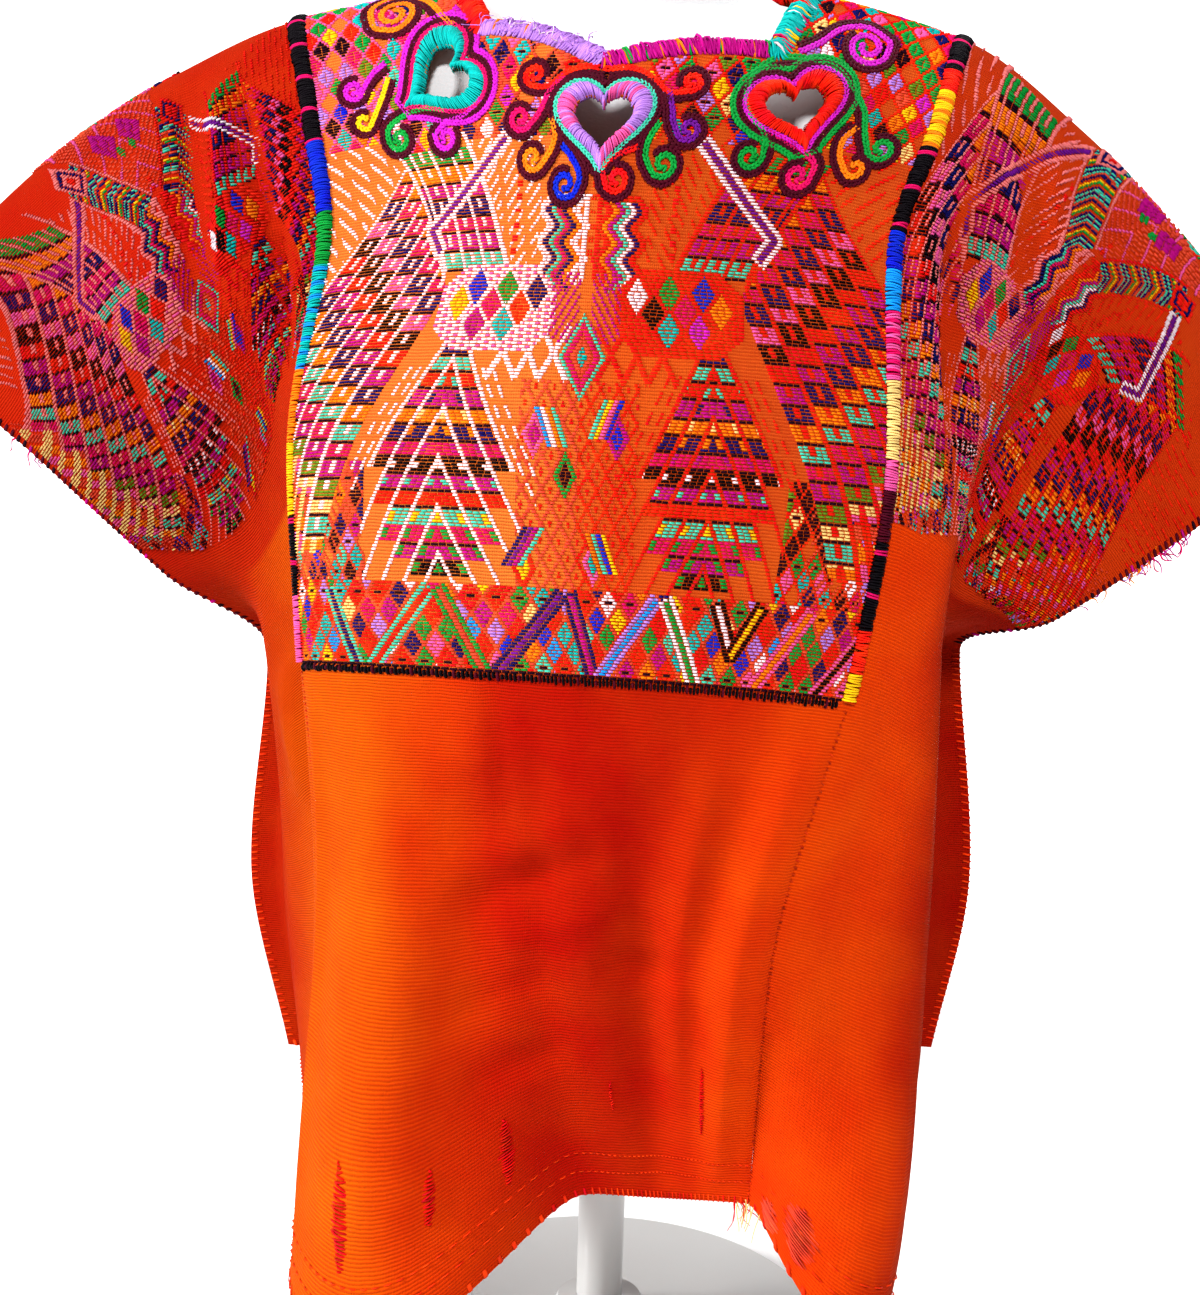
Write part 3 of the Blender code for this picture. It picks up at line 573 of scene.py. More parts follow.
# The ramp paints broad light and shade of the folds into the ground's colour.
fade = add(tree, "ShaderNodeValToRGB")
tree.links.new(across, fade.inputs[0])
fade.color_ramp.interpolation = "EASE"
for place_across, dye in DYE_WITH_PAINTED_SHADE:
    stop = fade.color_ramp.elements.new(place_across + 0.5)
    stop.color = (*dye, 1.0)
fade.color_ramp.elements.remove(fade.color_ramp.elements[0])
fade.color_ramp.elements.remove(fade.color_ramp.elements[-1])
# Each ground colour gets painted shade between its ribs.
rib_shaded = [
    mixed(tree, GROOVE_SHADE, colour, mixed(tree, ribs_node.outputs["Crown"], SHADE_BETWEEN_RIBS, colour))
    for colour in (yoke, fade.outputs[0])
]
dye_into(tree, shader, mixed(tree, below_yoke, *rib_shaded), Amount=0.24, Scale=24.0)
standing = maths(tree, "MULTIPLY", nap_node.outputs["Height"], 2.6)
bump_from(tree, shader, maths(tree, "ADD", ribs_node.outputs["Height"], standing), 0.6, 0.0009)
print("ground:", len(tree.nodes), "nodes")

# %% Dress form and stand
jersey = even_finish(
    "white jersey", (0.62, 0.62, 0.63), dict(roughness=0.85, sheen=0.15), dict(Amount=0.08, Scale=9.0),
    dict(Scale=520.0, Detail=2.0), dict(strength=0.3, distance=0.0006),
)
enamel = even_finish(
    "white enamel", (0.50, 0.50, 0.49), dict(roughness=0.32, coat=0.2), dict(Amount=0.05, Scale=7.0),
    dict(Scale=320.0, Detail=1.0), dict(strength=0.05, distance=0.0003),
)


# %% [markdown]
# Every piece ends the same way: its faces point outwards, its object sits at the origin, and it says
# which body it rides on.

# %% Finishing a piece
def hand_over(name, mesh, material, nodes):
    """The object for a mesh, with its body, its finish and the solids that it stands for."""
    mesh.materials.append(material)
    piece = placed(name, mesh)
    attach(piece, "root")
    if nodes:
        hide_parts(*nodes)
    return piece


def finish_piece(name, bm, material, node, smooth_angle=0.9):
    bmesh.ops.recalc_face_normals(bm, faces=bm.faces)
    mesh = bpy.data.meshes.new(name)
    bm.to_mesh(mesh)
    bm.free()
    mesh.shade_smooth()
    mesh.set_sharp_from_angle(angle=smooth_angle)
    print(name, len(mesh.polygons), "faces")
    return hand_over(name, mesh, material, (node,))


# %% [markdown]
# A panel is modelled flat, as it is woven: a grid given a wall by extruding it, with the neck hole and
# the hearts cut out by a Boolean while everything is still in one plane.  Its flat places become its
# map, and only then is it carried onto the worn shape.

# %% Outlines cut in the cloth
HEARTS = (
    Heart("heart_rim_right", -0.0895, 0.0650, -1.00, 0.0168),
    Heart("heart_rim_centre", 0.0025, 0.0915, 0.05, 0.0155),
    Heart("heart_rim_left", 0.0962, 0.0765, 0.42, 0.0150),
)

# Neck hole in cloth coordinates: scalloped in front, shallow behind.
NECK_SIDE = 0.092
NECK_LEFT_CORNER = (0.0815, 0.0505)
NECK_RIGHT_CORNER = (-0.072, 0.043)
NECK_CUSP = (-0.001, 0.0635)
NECK_BACK = 0.036
SCALLOP = 0.0035  # rise of each front scallop between its cusps


def heart_outline(heart, grow=0.0, points=28):
    """A heart of two arcs and a point, its tip towards the hem, grown outwards by a rim's width."""
    size = (heart.half_width + grow) / 16.0
    outline = []
    for k in range(points):
        a = 2 * pi * k / points
        across = 16 * sin(a) ** 3 * size
        along = -(13 * cos(a) - 5 * cos(2 * a) - 2 * cos(3 * a) - cos(4 * a)) * size
        turned_s = across * cos(heart.turn) + along * sin(heart.turn)
        turned_t = -across * sin(heart.turn) + along * cos(heart.turn)
        outline.append((heart.s + turned_s, heart.t + turned_t))
    return outline


def scallop(start, end, rise, steps):
    """Points from start up to, but not with, end, bowed towards the neck."""
    run_s, run_t = end[0] - start[0], end[1] - start[1]
    length = hypot(run_s, run_t)
    out_s, out_t = run_t / length, -run_s / length
    if out_t > 0:
        out_s, out_t = -out_s, -out_t
    made = []
    for k in range(steps):
        u = k / steps
        bow = rise * 4 * u * (1 - u)
        made.append((start[0] + run_s * u + out_s * bow, start[1] + run_t * u + out_t * bow))
    return made


def neck_outline():
    """The neck hole, once round from the right arm's side of the front."""
    left_side, right_side = (NECK_SIDE, 0.0), (-NECK_SIDE, 0.0)
    outline = scallop(right_side, NECK_RIGHT_CORNER, 0.0, 4)
    outline += scallop(NECK_RIGHT_CORNER, NECK_CUSP, SCALLOP, 7)
    outline += scallop(NECK_CUSP, NECK_LEFT_CORNER, SCALLOP, 7)
    outline += scallop(NECK_LEFT_CORNER, left_side, 0.0, 4)
    for k in range(12):
        a = pi * k / 12
        outline.append((NECK_SIDE * cos(a), -NECK_BACK * sin(a)))
    return outline

# %% Panels
CLOTH_TOP, CLOTH_UNDER = -0.0003, -0.0016  # heights of the shell's two faces
CENTRE_CELL, SIDE_CELL = 0.0050, 0.0062


def flat_panel(s_from, s_to, t_from, t_to, cell):
    bm = bmesh.new()
    s_cells, t_cells = round((s_to - s_from) / cell), round((t_to - t_from) / cell)
    bmesh.ops.create_grid(bm, x_segments=s_cells, y_segments=t_cells, size=0.5)
    bmesh.ops.scale(bm, vec=(s_to - s_from, t_to - t_from, 1), verts=bm.verts)
    bmesh.ops.translate(bm, vec=((s_from + s_to) / 2, (t_from + t_to) / 2, CLOTH_TOP), verts=bm.verts)
    grown = bmesh.ops.extrude_face_region(bm, geom=bm.faces[:])
    lower = [element for element in grown["geom"] if isinstance(element, bmesh.types.BMVert)]
    bmesh.ops.translate(bm, vec=(0, 0, CLOTH_UNDER - CLOTH_TOP), verts=lower)
    bmesh.ops.recalc_face_normals(bm, faces=bm.faces)
    return bm


def upright_cutter(outline):
    """A closed upright block over a flat outline."""
    bm = bmesh.new()
    floor_face = bm.faces.new([bm.verts.new((s, t, -0.01)) for s, t in outline])
    grown = bmesh.ops.extrude_face_region(bm, geom=[floor_face])
    top = [element for element in grown["geom"] if isinstance(element, bmesh.types.BMVert)]
    bmesh.ops.translate(bm, vec=(0, 0, 0.02), verts=top)
    bmesh.ops.recalc_face_normals(bm, faces=bm.faces)
    return bm


def cut_through(bm, outlines):
    blank = placed("blank", bpy.data.meshes.new("blank"))
    bm.to_mesh(blank.data)
    bm.free()
    cutters = []
    for outline in outlines:
        cutter = placed("cutter", bpy.data.meshes.new("cutter"))
        cutter_bm = upright_cutter(outline)
        cutter_bm.to_mesh(cutter.data)
        cutter_bm.free()
        cut = blank.modifiers.new("cut", "BOOLEAN")
        cut.operation = "DIFFERENCE"
        cut.solver = "EXACT"
        cut.object = cutter
        cutters.append(cutter)
    bpy.context.view_layer.update()
    result = bmesh.new()
    result.from_object(blank, bpy.context.evaluated_depsgraph_get())
    for helper in [blank] + cutters:
        bpy.data.objects.remove(helper, do_unlink=True)
    return result


def wear(bm):
    """The flat places kept as the cloth map, then every point carried onto the worn shape."""
    cloth_layer = bm.loops.layers.uv.new("cloth")
    for face in bm.faces:
        for loop in face.loops:
            loop[cloth_layer].uv = loop.vert.co.xy
    flat = np.array([vert.co for vert in bm.verts])
    for vert, place in zip(bm.verts, on_cloth(*flat.T)):
        vert.co = place
    return bm


def cloth_panel(name, node, s_from, s_to, cell, holes=()):
    bm = flat_panel(s_from, s_to, -LENGTH, LENGTH, cell)
    if holes:
        bm = cut_through(bm, holes)
    return finish_piece(name, wear(bm), ground, node)


holes = [neck_outline()] + [heart_outline(heart) for heart in HEARTS]
SEAM = 0.0001  # the selvedges are drawn together until hardly a gap is left
OUTER = CENTRE_HALF + SIDE_WIDTH
centre_cloth = cloth_panel(
    "centre_cloth", "centre_panel", SEAM / 2 - CENTRE_HALF, CENTRE_HALF - SEAM / 2, CENTRE_CELL, holes
)
right_cloth = cloth_panel("right_cloth", "side_panel_right", -OUTER, -CENTRE_HALF - SEAM / 2, SIDE_CELL)
left_cloth = cloth_panel("left_cloth", "side_panel_left", CENTRE_HALF + SEAM / 2, OUTER, SIDE_CELL)

# %% [markdown]
# The form under the blouse is a firm torso in white jersey.  It is lofted from a short table of rings,
# like the solid, but with smooth curves between them, so no ring shows through the jersey.

# %% Dress form
# One row for each ring from the hip to the neck.
Ring = namedtuple("Ring", "z half_width front back power")
FORM_RINGS = [Ring(*row) for row in (
    (0.205, 0.118, 0.096, 0.094, 2.2),
    (0.212, 0.132, 0.106, 0.106, 2.2),
    (0.260, 0.137, 0.110, 0.114, 2.2),
    (0.330, 0.132, 0.104, 0.108, 2.2),
    (0.400, 0.112, 0.092, 0.090, 2.1),
    (0.460, 0.112, 0.096, 0.088, 2.1),
    (0.520, 0.128, 0.122, 0.096, 2.2),
    (0.560, 0.134, 0.130, 0.100, 2.2),
    (0.610, 0.140, 0.112, 0.098, 2.2),
    (0.6472, 0.147, 0.092, 0.090, 2.0),
    (0.6722, 0.151, 0.077, 0.078, 1.9),
    (0.6902, 0.150, 0.064, 0.066, 1.7),
    (0.7022, 0.143, 0.055, 0.054, 1.5),
    (0.7112, 0.124, 0.050, 0.049, 1.4),
    (0.7172, 0.096, 0.047, 0.046, 1.5),
    (0.7222, 0.070, 0.045, 0.044, 1.6),
    (0.7314, 0.057, 0.044, 0.043, 1.8),
    (0.7420, 0.054, 0.045, 0.043, 2.0),
    (0.7514, 0.048, 0.045, 0.043, 2.0),
    (0.8014, 0.047, 0.045, 0.043, 2.0),
)]
FORM_SIDES = 96
FORM_RISE = 0.006


def form_ring(row):
    z, half_width, front, back, power = row
    angles = np.linspace(0, 2 * pi, FORM_SIDES, endpoint=False)
    depth = np.where(np.sin(angles) > 0, back, front)
    x = half_width * np.sign(np.cos(angles)) * np.abs(np.cos(angles)) ** (2 / power)
    y = depth * np.sign(np.sin(angles)) * np.abs(np.sin(angles)) ** (2 / power)
    return np.column_stack((x, y, np.full(FORM_SIDES, z)))


form_table = np.array(FORM_RINGS)
form_foot, form_top = form_table[[0, -1], 0]
heights = np.linspace(form_foot, form_top, round((form_top - form_foot) / FORM_RISE))
smooth_rows = [
    smooth_through(form_table[:, 0], form_table[None, :, first : first + 3], np.array([z]))[0]
    for z in heights
    for first in (1, 2)
]
rings = [(z, *smooth_rows[2 * k], smooth_rows[2 * k + 1][2]) for k, z in enumerate(heights)]
bm = bmesh.new()
bmesh.ops.create_circle(bm, cap_ends=True, segments=FORM_SIDES, radius=0.1)
for number, row in enumerate(rings):
    if number == 0:
        layer = sorted(bm.verts, key=lambda vert: atan2(vert.co.y, vert.co.x) % (2 * pi))
        top_face = bm.faces[:]
    else:
        grown = bmesh.ops.extrude_face_region(bm, geom=top_face)
        top_face = [element for element in grown["geom"] if isinstance(element, bmesh.types.BMFace)]
        layer = sorted(top_face[0].verts, key=lambda vert: atan2(vert.co.y, vert.co.x) % (2 * pi))
    for vert, place in zip(layer, form_ring(row)):
        vert.co = place
finish_piece("jersey_form", bm, jersey, "dress_form", smooth_angle=1.2)


# %% [markdown]
# The stand is turned metal: a profile of a few points spun once round the pole, fine enough that its
# edge stays round close by.

# %% Stand
TURNED_SIDES = 96


def turned_piece(name, node, profile):
    bm = bmesh.new()
    points = [bm.verts.new((radius, 0, z)) for radius, z in profile]
    edges = [bm.edges.new(pair) for pair in zip(points, points[1:])]
    bmesh.ops.spin(
        bm, geom=points + edges, axis=(0, 0, 1), cent=(0, 0, 0), angle=2 * pi, steps=TURNED_SIDES, use_merge=True
    )
    bmesh.ops.remove_doubles(bm, verts=bm.verts, dist=0.00005)
    finish_piece(name, bm, enamel, node, smooth_angle=0.5)


BASE = ((0, 0), (0.127, 0), (0.1297, 0.0012), (0.130, 0.0088), (0.1285, 0.0122), (0.124, 0.016), (0, 0.016))
pole_top, cap = form_foot - GAP, form_top + GAP
POLE = (
    (0, 0.0163), (0.024, 0.0163), (0.024, 0.0300), (0.0225, 0.0325), (0.0125, 0.0343),
    (0.0125, pole_top), (0, pole_top),
)
CAP = (
    (0, cap), (0.042, cap), (0.0447, cap + 0.0025), (0.045, cap + 0.0080), (0.0425, cap + 0.0108),
    (0.039, cap + 0.012), (0, cap + 0.012),
)
turned_piece("round_base", "base_plate", BASE)
turned_piece("stand_pole", "pole", POLE)
turned_piece("turned_cap", "neck_cap", CAP)

# %% [markdown]
# The yoke's colours are laid in by hand while the cloth is woven: between two ribs a coloured thread
# floats over a few warps and is turned back.  Seen close, every motif is rows of small raised floats.
# A bump map would look printed, so the floats are real: one little prototype, repeated from arrays.

# %% Thread colours
DYED = 0.77  # cotton gives back this much of what its colour looks like under a strong lamp


def from_screen(red, green, blue):
    """A colour as it looks under the lamp, 0 to 255, as the linear one that materials use."""
    c = np.array((red, green, blue)) / 255
    return tuple(DYED * np.where(c < 0.04045, c / 12.92, ((c + 0.055) / 1.055) ** 2.4))


Thread = namedtuple("Thread", "name red green blue")
THREADS = [Thread(*row) for row in (
    ("ground", 225, 110, 30),
    ("white", 246, 228, 236),
    ("red", 236, 24, 14),
    ("scarlet", 240, 36, 8),
    ("orange", 246, 128, 12),
    ("yellow", 244, 190, 14),
    ("cream", 244, 206, 130),
    ("salmon", 226, 78, 54),
    ("pink", 234, 92, 160),
    ("hotpink", 216, 10, 100),
    ("magenta", 186, 8, 132),
    ("purple", 112, 20, 140),
    ("plum", 36, 0, 24),
    ("maroon", 76, 0, 28),
    ("black", 8, 0, 8),
    ("navy", 20, 16, 96),
    ("blue", 14, 44, 190),
    ("sky", 20, 150, 230),
    ("turquoise", 0, 178, 172),
    ("teal", 74, 196, 168),
    ("green", 12, 150, 62),
    ("olive", 100, 138, 34),
    ("lavender", 182, 130, 216),
    ("orchid", 200, 34, 186),
    ("rust", 190, 52, 8),
    ("mend", 206, 14, 6),
    ("self", 222, 58, 4),
    ("rose", 240, 128, 128),
)]
NUMBER = {thread.name: number for number, thread in enumerate(THREADS)}
COLOURS = np.array([from_screen(*thread[1:]) for thread in THREADS])
print(len(THREADS) - 1, "thread colours on the ground")

# %% [markdown]
# The design is mirrored about the middle of the panel.  It is drawn by rule, as masks in millimetres,
# x out from the middle and v down from the shoulder, each painted over the last.

# %% Motif masks
def fraction(x):
    return x - np.floor(x)


def strip(x, v, x_from, v_from, x_to, v_to, width):
    """Inside a straight bar of a given width."""
    run_x, run_v = x_to - x_from, v_to - v_from
    length = hypot(run_x, run_v)
    along = ((x - x_from) * run_x + (v - v_from) * run_v) / length
    off = np.abs((x - x_from) * run_v - (v - v_from) * run_x) / length
    return (off < width / 2) & (along > -width / 4) & (along < length + width / 4)


def lozenge(x, v, x_at, v_at, half_x, half_v):
    return np.abs(x - x_at) / half_x + np.abs(v - v_at) / half_v < 1


def triangle_wave(x):
    return 2 * np.abs(2 * fraction(x) - 1) - 1


class Cloth:
    """The coloured threads over one stretch of cloth, x and v being the places of its points."""

    def __init__(self, x, v):
        self.x, self.v = x, v
        self.threads = np.zeros(x.shape, int)

    def paint(self, mask, name):
        self.threads[mask] = NUMBER[name]

    def pick(self, mask, names, index):
        """Paint by a list of names, taken by a whole number that changes over the cloth."""
        numbers = np.array([NUMBER[name] for name in names])
        self.threads[mask] = numbers[index[mask] % len(names)]


# %% Lozenges of the shoulders
LOZENGE_THREADS = (
    "magenta", "green", "pink", "turquoise", "orange", "navy", "white", "hotpink", "teal",
    "yellow", "red", "salmon", "blue", "lavender", "orchid", "olive", "cream", "plum",
)


def lozenge_field(cloth, where, x_pitch, v_pitch, outline, x_phase=0.0):
    a = (cloth.x + x_phase) / x_pitch + cloth.v / v_pitch
    b = (cloth.x + x_phase) / x_pitch - cloth.v / v_pitch
    row, col = np.floor(a).astype(int), np.floor(b).astype(int)
    cloth.pick(where, LOZENGE_THREADS, np.abs(row * 7 + col * 5 + row * col))
    bare = (row * 3 + col * 5) % 7 == 0
    cloth.paint(where & bare, "ground")
    edge = np.minimum(fraction(a), fraction(b)) < 0.15
    cloth.paint(where & edge, outline)
    stitch = (np.abs(fraction(a) - fraction(b)) < 0.07) & (np.abs(fraction(a) - 0.57) < 0.2)
    cloth.paint(where & stitch & ~bare, "plum")


# %% Blocks of the wings and trees
WING_THREADS = (
    "teal", "orange", "hotpink", "navy", "pink", "black", "red", "magenta",
    "navy", "orange", "teal", "hotpink", "magenta", "olive", "cream", "teal", "cream", "pink",
)
WING_COLUMNS = 6
WING_ENDS = (200, 215, 231, 248, 263, 286)  # where each column's blocks turn pale
BLOCK = 8.5


def wing_line(k, v):
    """How far out the k-th slanting line of a wing is; the last is the inner one."""
    inward = WING_COLUMNS - k
    return 83 + 15 * inward + (0.45 + 0.055 * inward) * (v - 180)


def wing_top(x, v):
    return x + 0.61 * (v - 104) - 121


def blocks(cloth, where, across, rows, names, pale):
    """Rows of blocks with a pale line at one side, a pale slot from the top and a dark edge under."""
    down = fraction(rows)
    cloth.pick(where, names, rows.astype(int))
    cloth.paint(where & (np.abs(across - 0.60) < 0.10) & (down < 0.58), pale)
    cloth.paint(where & (down > 0.82), "plum")
    cloth.paint(where & (across < 0.17), pale)


def wing(cloth, side, pale):
    x, v = side * cloth.x, cloth.v
    below_top = wing_top(x, v) > 0
    for k in range(WING_COLUMNS):
        outer, inner = wing_line(k, v), wing_line(k + 1, v)
        across = (outer - x) / (outer - inner)
        start = 101 + 9.6 * k
        rows = (v - start) / BLOCK
        inside = (across >= 0) & (across < 1) & below_top & (rows > 0) & (v < 292)
        blocks(cloth, inside, across, rows, WING_THREADS, pale)
        faded = inside & (v > WING_ENDS[k])
        cloth.pick(faded, ("salmon", "orange", "pink"), rows.astype(int))
        cloth.paint(faded & (fraction(rows) > 0.75), "ground")
        cloth.paint(faded & (np.abs(across - 0.62) < 0.14), "scarlet" if side > 0 else "cream")
        cloth.paint(faded & (across < 0.18), "red" if side > 0 else "cream")


UPPER_TREE = ("green", "orange", "magenta", "navy", "hotpink", "magenta", "teal")


def upper_tree(cloth, side, pale):
    """A slanting tree between the wing's top and a line that falls towards the middle."""
    x, v = side * cloth.x, cloth.v
    rows = (v - 104) / 8.4
    from_edge = x + 0.54 * (v - 105) - 76
    inside = (rows > 0) & (rows < 7) & (from_edge > 0) & (wing_top(x, v) < 0)
    across = fraction(from_edge / 12.5)
    blocks(cloth, inside, across, rows, UPPER_TREE, pale)
    rim = (np.abs(from_edge) < 1.3) & (v > 96) & (v < 168)
    cloth.paint(rim, pale)
    cloth.paint((np.abs(wing_top(x, v)) < 1.3) & (v > 98) & (v < 166), pale)


LOWER_TREE = (
    ("navy", "white"), ("teal", "red"), ("red", "teal"), ("magenta", "navy"), ("orange", "cream"),
    ("navy", "orange"), ("hotpink", "magenta"), ("black", "white"), ("magenta", "teal"),
    ("red", "scarlet"), ("teal", "yellow"), ("hotpink", "green"), ("magenta", "green"), ("black", "green"),
)
TREE_TOP = 195
TIERS = (  # top, foot, half the width at the top and at the foot
    (TREE_TOP, 254, 4.0, 34.0), (254, 270, 25.0, 33.0), (270, 286, 23.0, 29.5),
    (286, 294, 19.0, 22.0), (294, 302, 12.5, 14.5),
)


def lower_tree(cloth, side, pale):
    """A standing tree in tiers, crossed by nested chevrons."""
    x, v = side * cloth.x - 66, cloth.v
    for low, high, narrow, wide in TIERS:
        half = narrow + (wide - narrow) * (v - low) / (high - low)
        inside = (v >= low) & (v < high) & (np.abs(x) < half)
        rows = np.clip((v - TREE_TOP) / 7.7, 0, 13.9)
        slant = fraction((np.abs(x) - 0.5 * (v - TREE_TOP)) / 11.5)
        cloth.pick(inside, [names[0] for names in LOWER_TREE], rows.astype(int))
        slot = inside & (np.abs(slant - 0.5) < 0.16) & (fraction(rows) > 0.12) & (fraction(rows) < 0.66)
        cloth.pick(slot, [names[1] for names in LOWER_TREE], rows.astype(int))
        cloth.paint(inside & (fraction(rows) > 0.82), "plum")
        if low == TREE_TOP:
            cloth.paint((np.abs(np.abs(x) - half - 1.4) < 1.2) & (v >= low) & (v < high), pale)
    for apex in (203, 225, 248, 270, 291):
        leg = 0.5 * (v - apex)
        reach = min(304, apex + 82)
        cloth.paint((np.abs(np.abs(x) - leg) < 1.05) & (v > apex - 2) & (v < reach) & (np.abs(x) < 40), pale)
    past_leg = np.abs(x) - 0.5 * (v - TREE_TOP)
    beside = (past_leg > 6) & (past_leg < 19) & (v > 206) & (v < 302) & (np.abs(x) < 46)
    cloth.paint(beside & (fraction((np.abs(x) - 0.5 * v) / 5.2) < 0.32) & (fraction(v / 8.6) < 0.70), pale)


# %% Bars, bands and small figures
def herringbone(cloth, where, side, lean, pitch, length, colour):
    x, v = side * cloth.x, cloth.v
    bars = fraction((v - lean * x) / pitch) < 0.34
    breaks = fraction((x + 0.25 * v) / length) < 0.74
    cloth.paint(where & bars & breaks, colour)


def bent_bar(cloth, side, outer):
    x, v = side * cloth.x, cloth.v
    for width, colour in ((8.6, outer), (3.0, "purple")):
        run = strip(x, v, 54, 101, 98, 143, width) | strip(x, v, 98, 143, 90, 153, width)
        cloth.paint(run, colour)


ZIGZAG = {-1: ("navy", "teal", "hotpink", "navy", "orange"), 1: ("navy", "white", "teal", "magenta", "orange")}


def zigzag_band(cloth, side, pale):
    x, v = side * cloth.x, cloth.v
    field = (np.abs(x - 15) < 15) & (v > 128) & (v < 172 - 0.5 * np.abs(x - 12))
    place = (24 - x + 3.6 * triangle_wave(v / 15)) / 3.1
    cloth.paint(field & (np.abs(place - 2.5) < 4.0), pale)
    cloth.paint(field & (np.abs(x - 3.5) < 1.3), pale)
    cloth.pick(field & (place > 0) & (place < 5) & (v > 131), ZIGZAG[side], np.clip(place, 0, 4).astype(int))


DIAMONDS = (
    (70, 178, "yellow", "orange"), (61, 170.5, "blue", "blue"), (59, 187.5, "magenta", "orchid"),
    (51.5, 178.5, "hotpink", "hotpink"), (43.5, 171, "green", "green"), (43.5, 187.5, "turquoise", "turquoise"),
    (35.5, 180, "red", "black"), (27, 173, "navy", "white"),
)


def diamond_cluster(cloth, side, pale):
    x, v = side * cloth.x, cloth.v
    from_x, from_v = np.abs(x - 49), np.abs(v - 180)
    breast = (from_x / 40 + from_v / 31 < 1.12) & (from_v < 19) & (from_x < 33)
    cloth.paint(breast, "scarlet" if side > 0 else "pink")
    cloth.paint(breast & (fraction((v + 0.35 * x) / 3.0) > (0.28 if side < 0 else 0.0)), pale)
    for x_at, v_at, *names in DIAMONDS:
        cloth.paint(lozenge(x, v, x_at, v_at, 8.2, 10.2), pale)
        cloth.paint(lozenge(x, v, x_at, v_at, 6.1, 8.2), names[(side + 1) // 2])


def crosses(cloth, side, pale):
    x, v = side * cloth.x, cloth.v
    for left, right_x in ((8, 22), (22, 8), (34, 48), (48, 34), (22, 34), (34, 22)):
        cloth.paint(strip(x, v, left, 188, right_x, 211, 3.2), pale)


COLLAR = ("navy", "teal", "navy", "ground", "green", "yellow", "ground", "navy", "salmon", "teal")


def collar(cloth, side, pale):
    """The barred collar above each zigzag, ending in a lozenge; it is only on the side lengths."""
    x, v = side * cloth.x, cloth.v
    along, off = (x - 16) * 0.60 + (130 - v) * 0.80, (x - 16) * 0.80 - (130 - v) * 0.60
    inside = (along > -4) & (along < 50) & (np.abs(off) < 13)
    cloth.paint(inside, "ground")
    bars = fraction((along + 0.45 * np.abs(off)) / 13.0) * 10
    cloth.pick(inside & (np.abs(off) < 10.5), COLLAR, np.clip(bars, 0, 9).astype(int))
    cloth.paint(inside & (np.abs(off) > 11.3), pale)
    for half, name in ((10.5, pale), (7.6, "navy"), (5.6, pale), (2.6, "red")):
        cloth.paint(lozenge(x, v, 46, 91, half * 1.1, half), name)


def middle_patch(cloth):
    """Two purple lozenges with green hearts on a salmon field, between the collars."""
    x, v = cloth.x, cloth.v
    field = (np.abs(x) < 12 + 0.62 * (124 - v)) & (v > 66) & (v < 124) & (cloth.threads == 0)
    lines = fraction((v + 0.6 * np.abs(x)) / 3.4) < 0.5
    cloth.paint(field & lines, "salmon")
    cloth.paint(field & (fraction((v - 1.1 * np.abs(x)) / 17.0) < 0.12), "pink")
    for x_at in (-11, 11):
        cloth.paint(lozenge(x, v, x_at, 84, 10.0, 10.0), "magenta")
        cloth.paint(lozenge(x, v, x_at * 0.5, 92, 3.6, 3.8), "green")


def dots(cloth, side, _):
    x, v = side * cloth.x, cloth.v
    down = fraction(v / 6.4) < 0.42
    cloth.paint((np.abs(x - 44) < 1.6) & down & (v > 112) & (v < 158), "red")
    cloth.paint((np.abs(cloth.x) < 1.6) & down & (v > 112) & (v < 160), "scarlet")


NESTED = ((12.5, 19.5, "teal"), (10.0, 16.0, "hotpink"), (6.4, 10.0, "salmon"), (3.2, 5.0, "turquoise"))
FREE_LOZENGES = (
    (-6, 254, "green", "plum"), (-22, 236, "pink", "magenta"), (20, 236, "magenta", "blue"),
    (10, 292, "pink", "turquoise"), (-26, 296, "red", "yellow"),
)
RIBBONS = (
    (-14, 232, 0.42, ("sky", "white", "orange", "teal")),
    (14, 228, -0.42, ("teal", "yellow", "pink", "blue")),
    (-26, 286, -0.62, ("navy", "purple", "magenta", "teal")),
    (14, 288, 0.42, ("orange", "teal", "blue", "yellow")),
)


def middle_figures(cloth):
    x, v = cloth.x, cloth.v
    feathers = (np.abs(x) < 19) & (v > 164) & (v < 196) & (np.abs(x) > 3)
    feathers &= fraction((v - 1.5 * np.abs(x)) / 6.2) < 0.42
    cloth.paint(feathers & (v < 197 - 0.2 * np.abs(x)), "magenta")
    for half_x, half_v, name in NESTED:
        cloth.paint(lozenge(x, v, 0, 201, half_x, half_v), name)
    for x_at, v_at, outer, inner in FREE_LOZENGES:
        cloth.paint(lozenge(x, v, x_at, v_at, 6.2, 11.0), outer)
        cloth.paint(lozenge(x, v, x_at, v_at, 3.4, 6.5), inner)
    for x_at, v_at, lean, names in RIBBONS:
        place = (x - x_at - lean * (v - v_at)) / 2.7 + 2
        where = (place > 0) & (place < 4) & (np.abs(v - v_at) < 9)
        cloth.pick(where, names, np.clip(place, 0, 3).astype(int))
    scatter = (np.abs(x) < 30) & (v > 212) & (v < 306) & (cloth.threads == 0)
    a, b = fraction((x + 0.62 * v) / 9.5), fraction((x - 0.62 * v) / 9.5)
    cloth.paint(scatter & (np.minimum(a, b) < 0.26), "salmon")
    cloth.paint(scatter & (x > 0) & (np.minimum(a, b) < 0.20), "scarlet")
    cloth.paint(scatter & (np.abs(a - 0.6) < 0.14) & (np.abs(b - 0.6) < 0.14), "red")


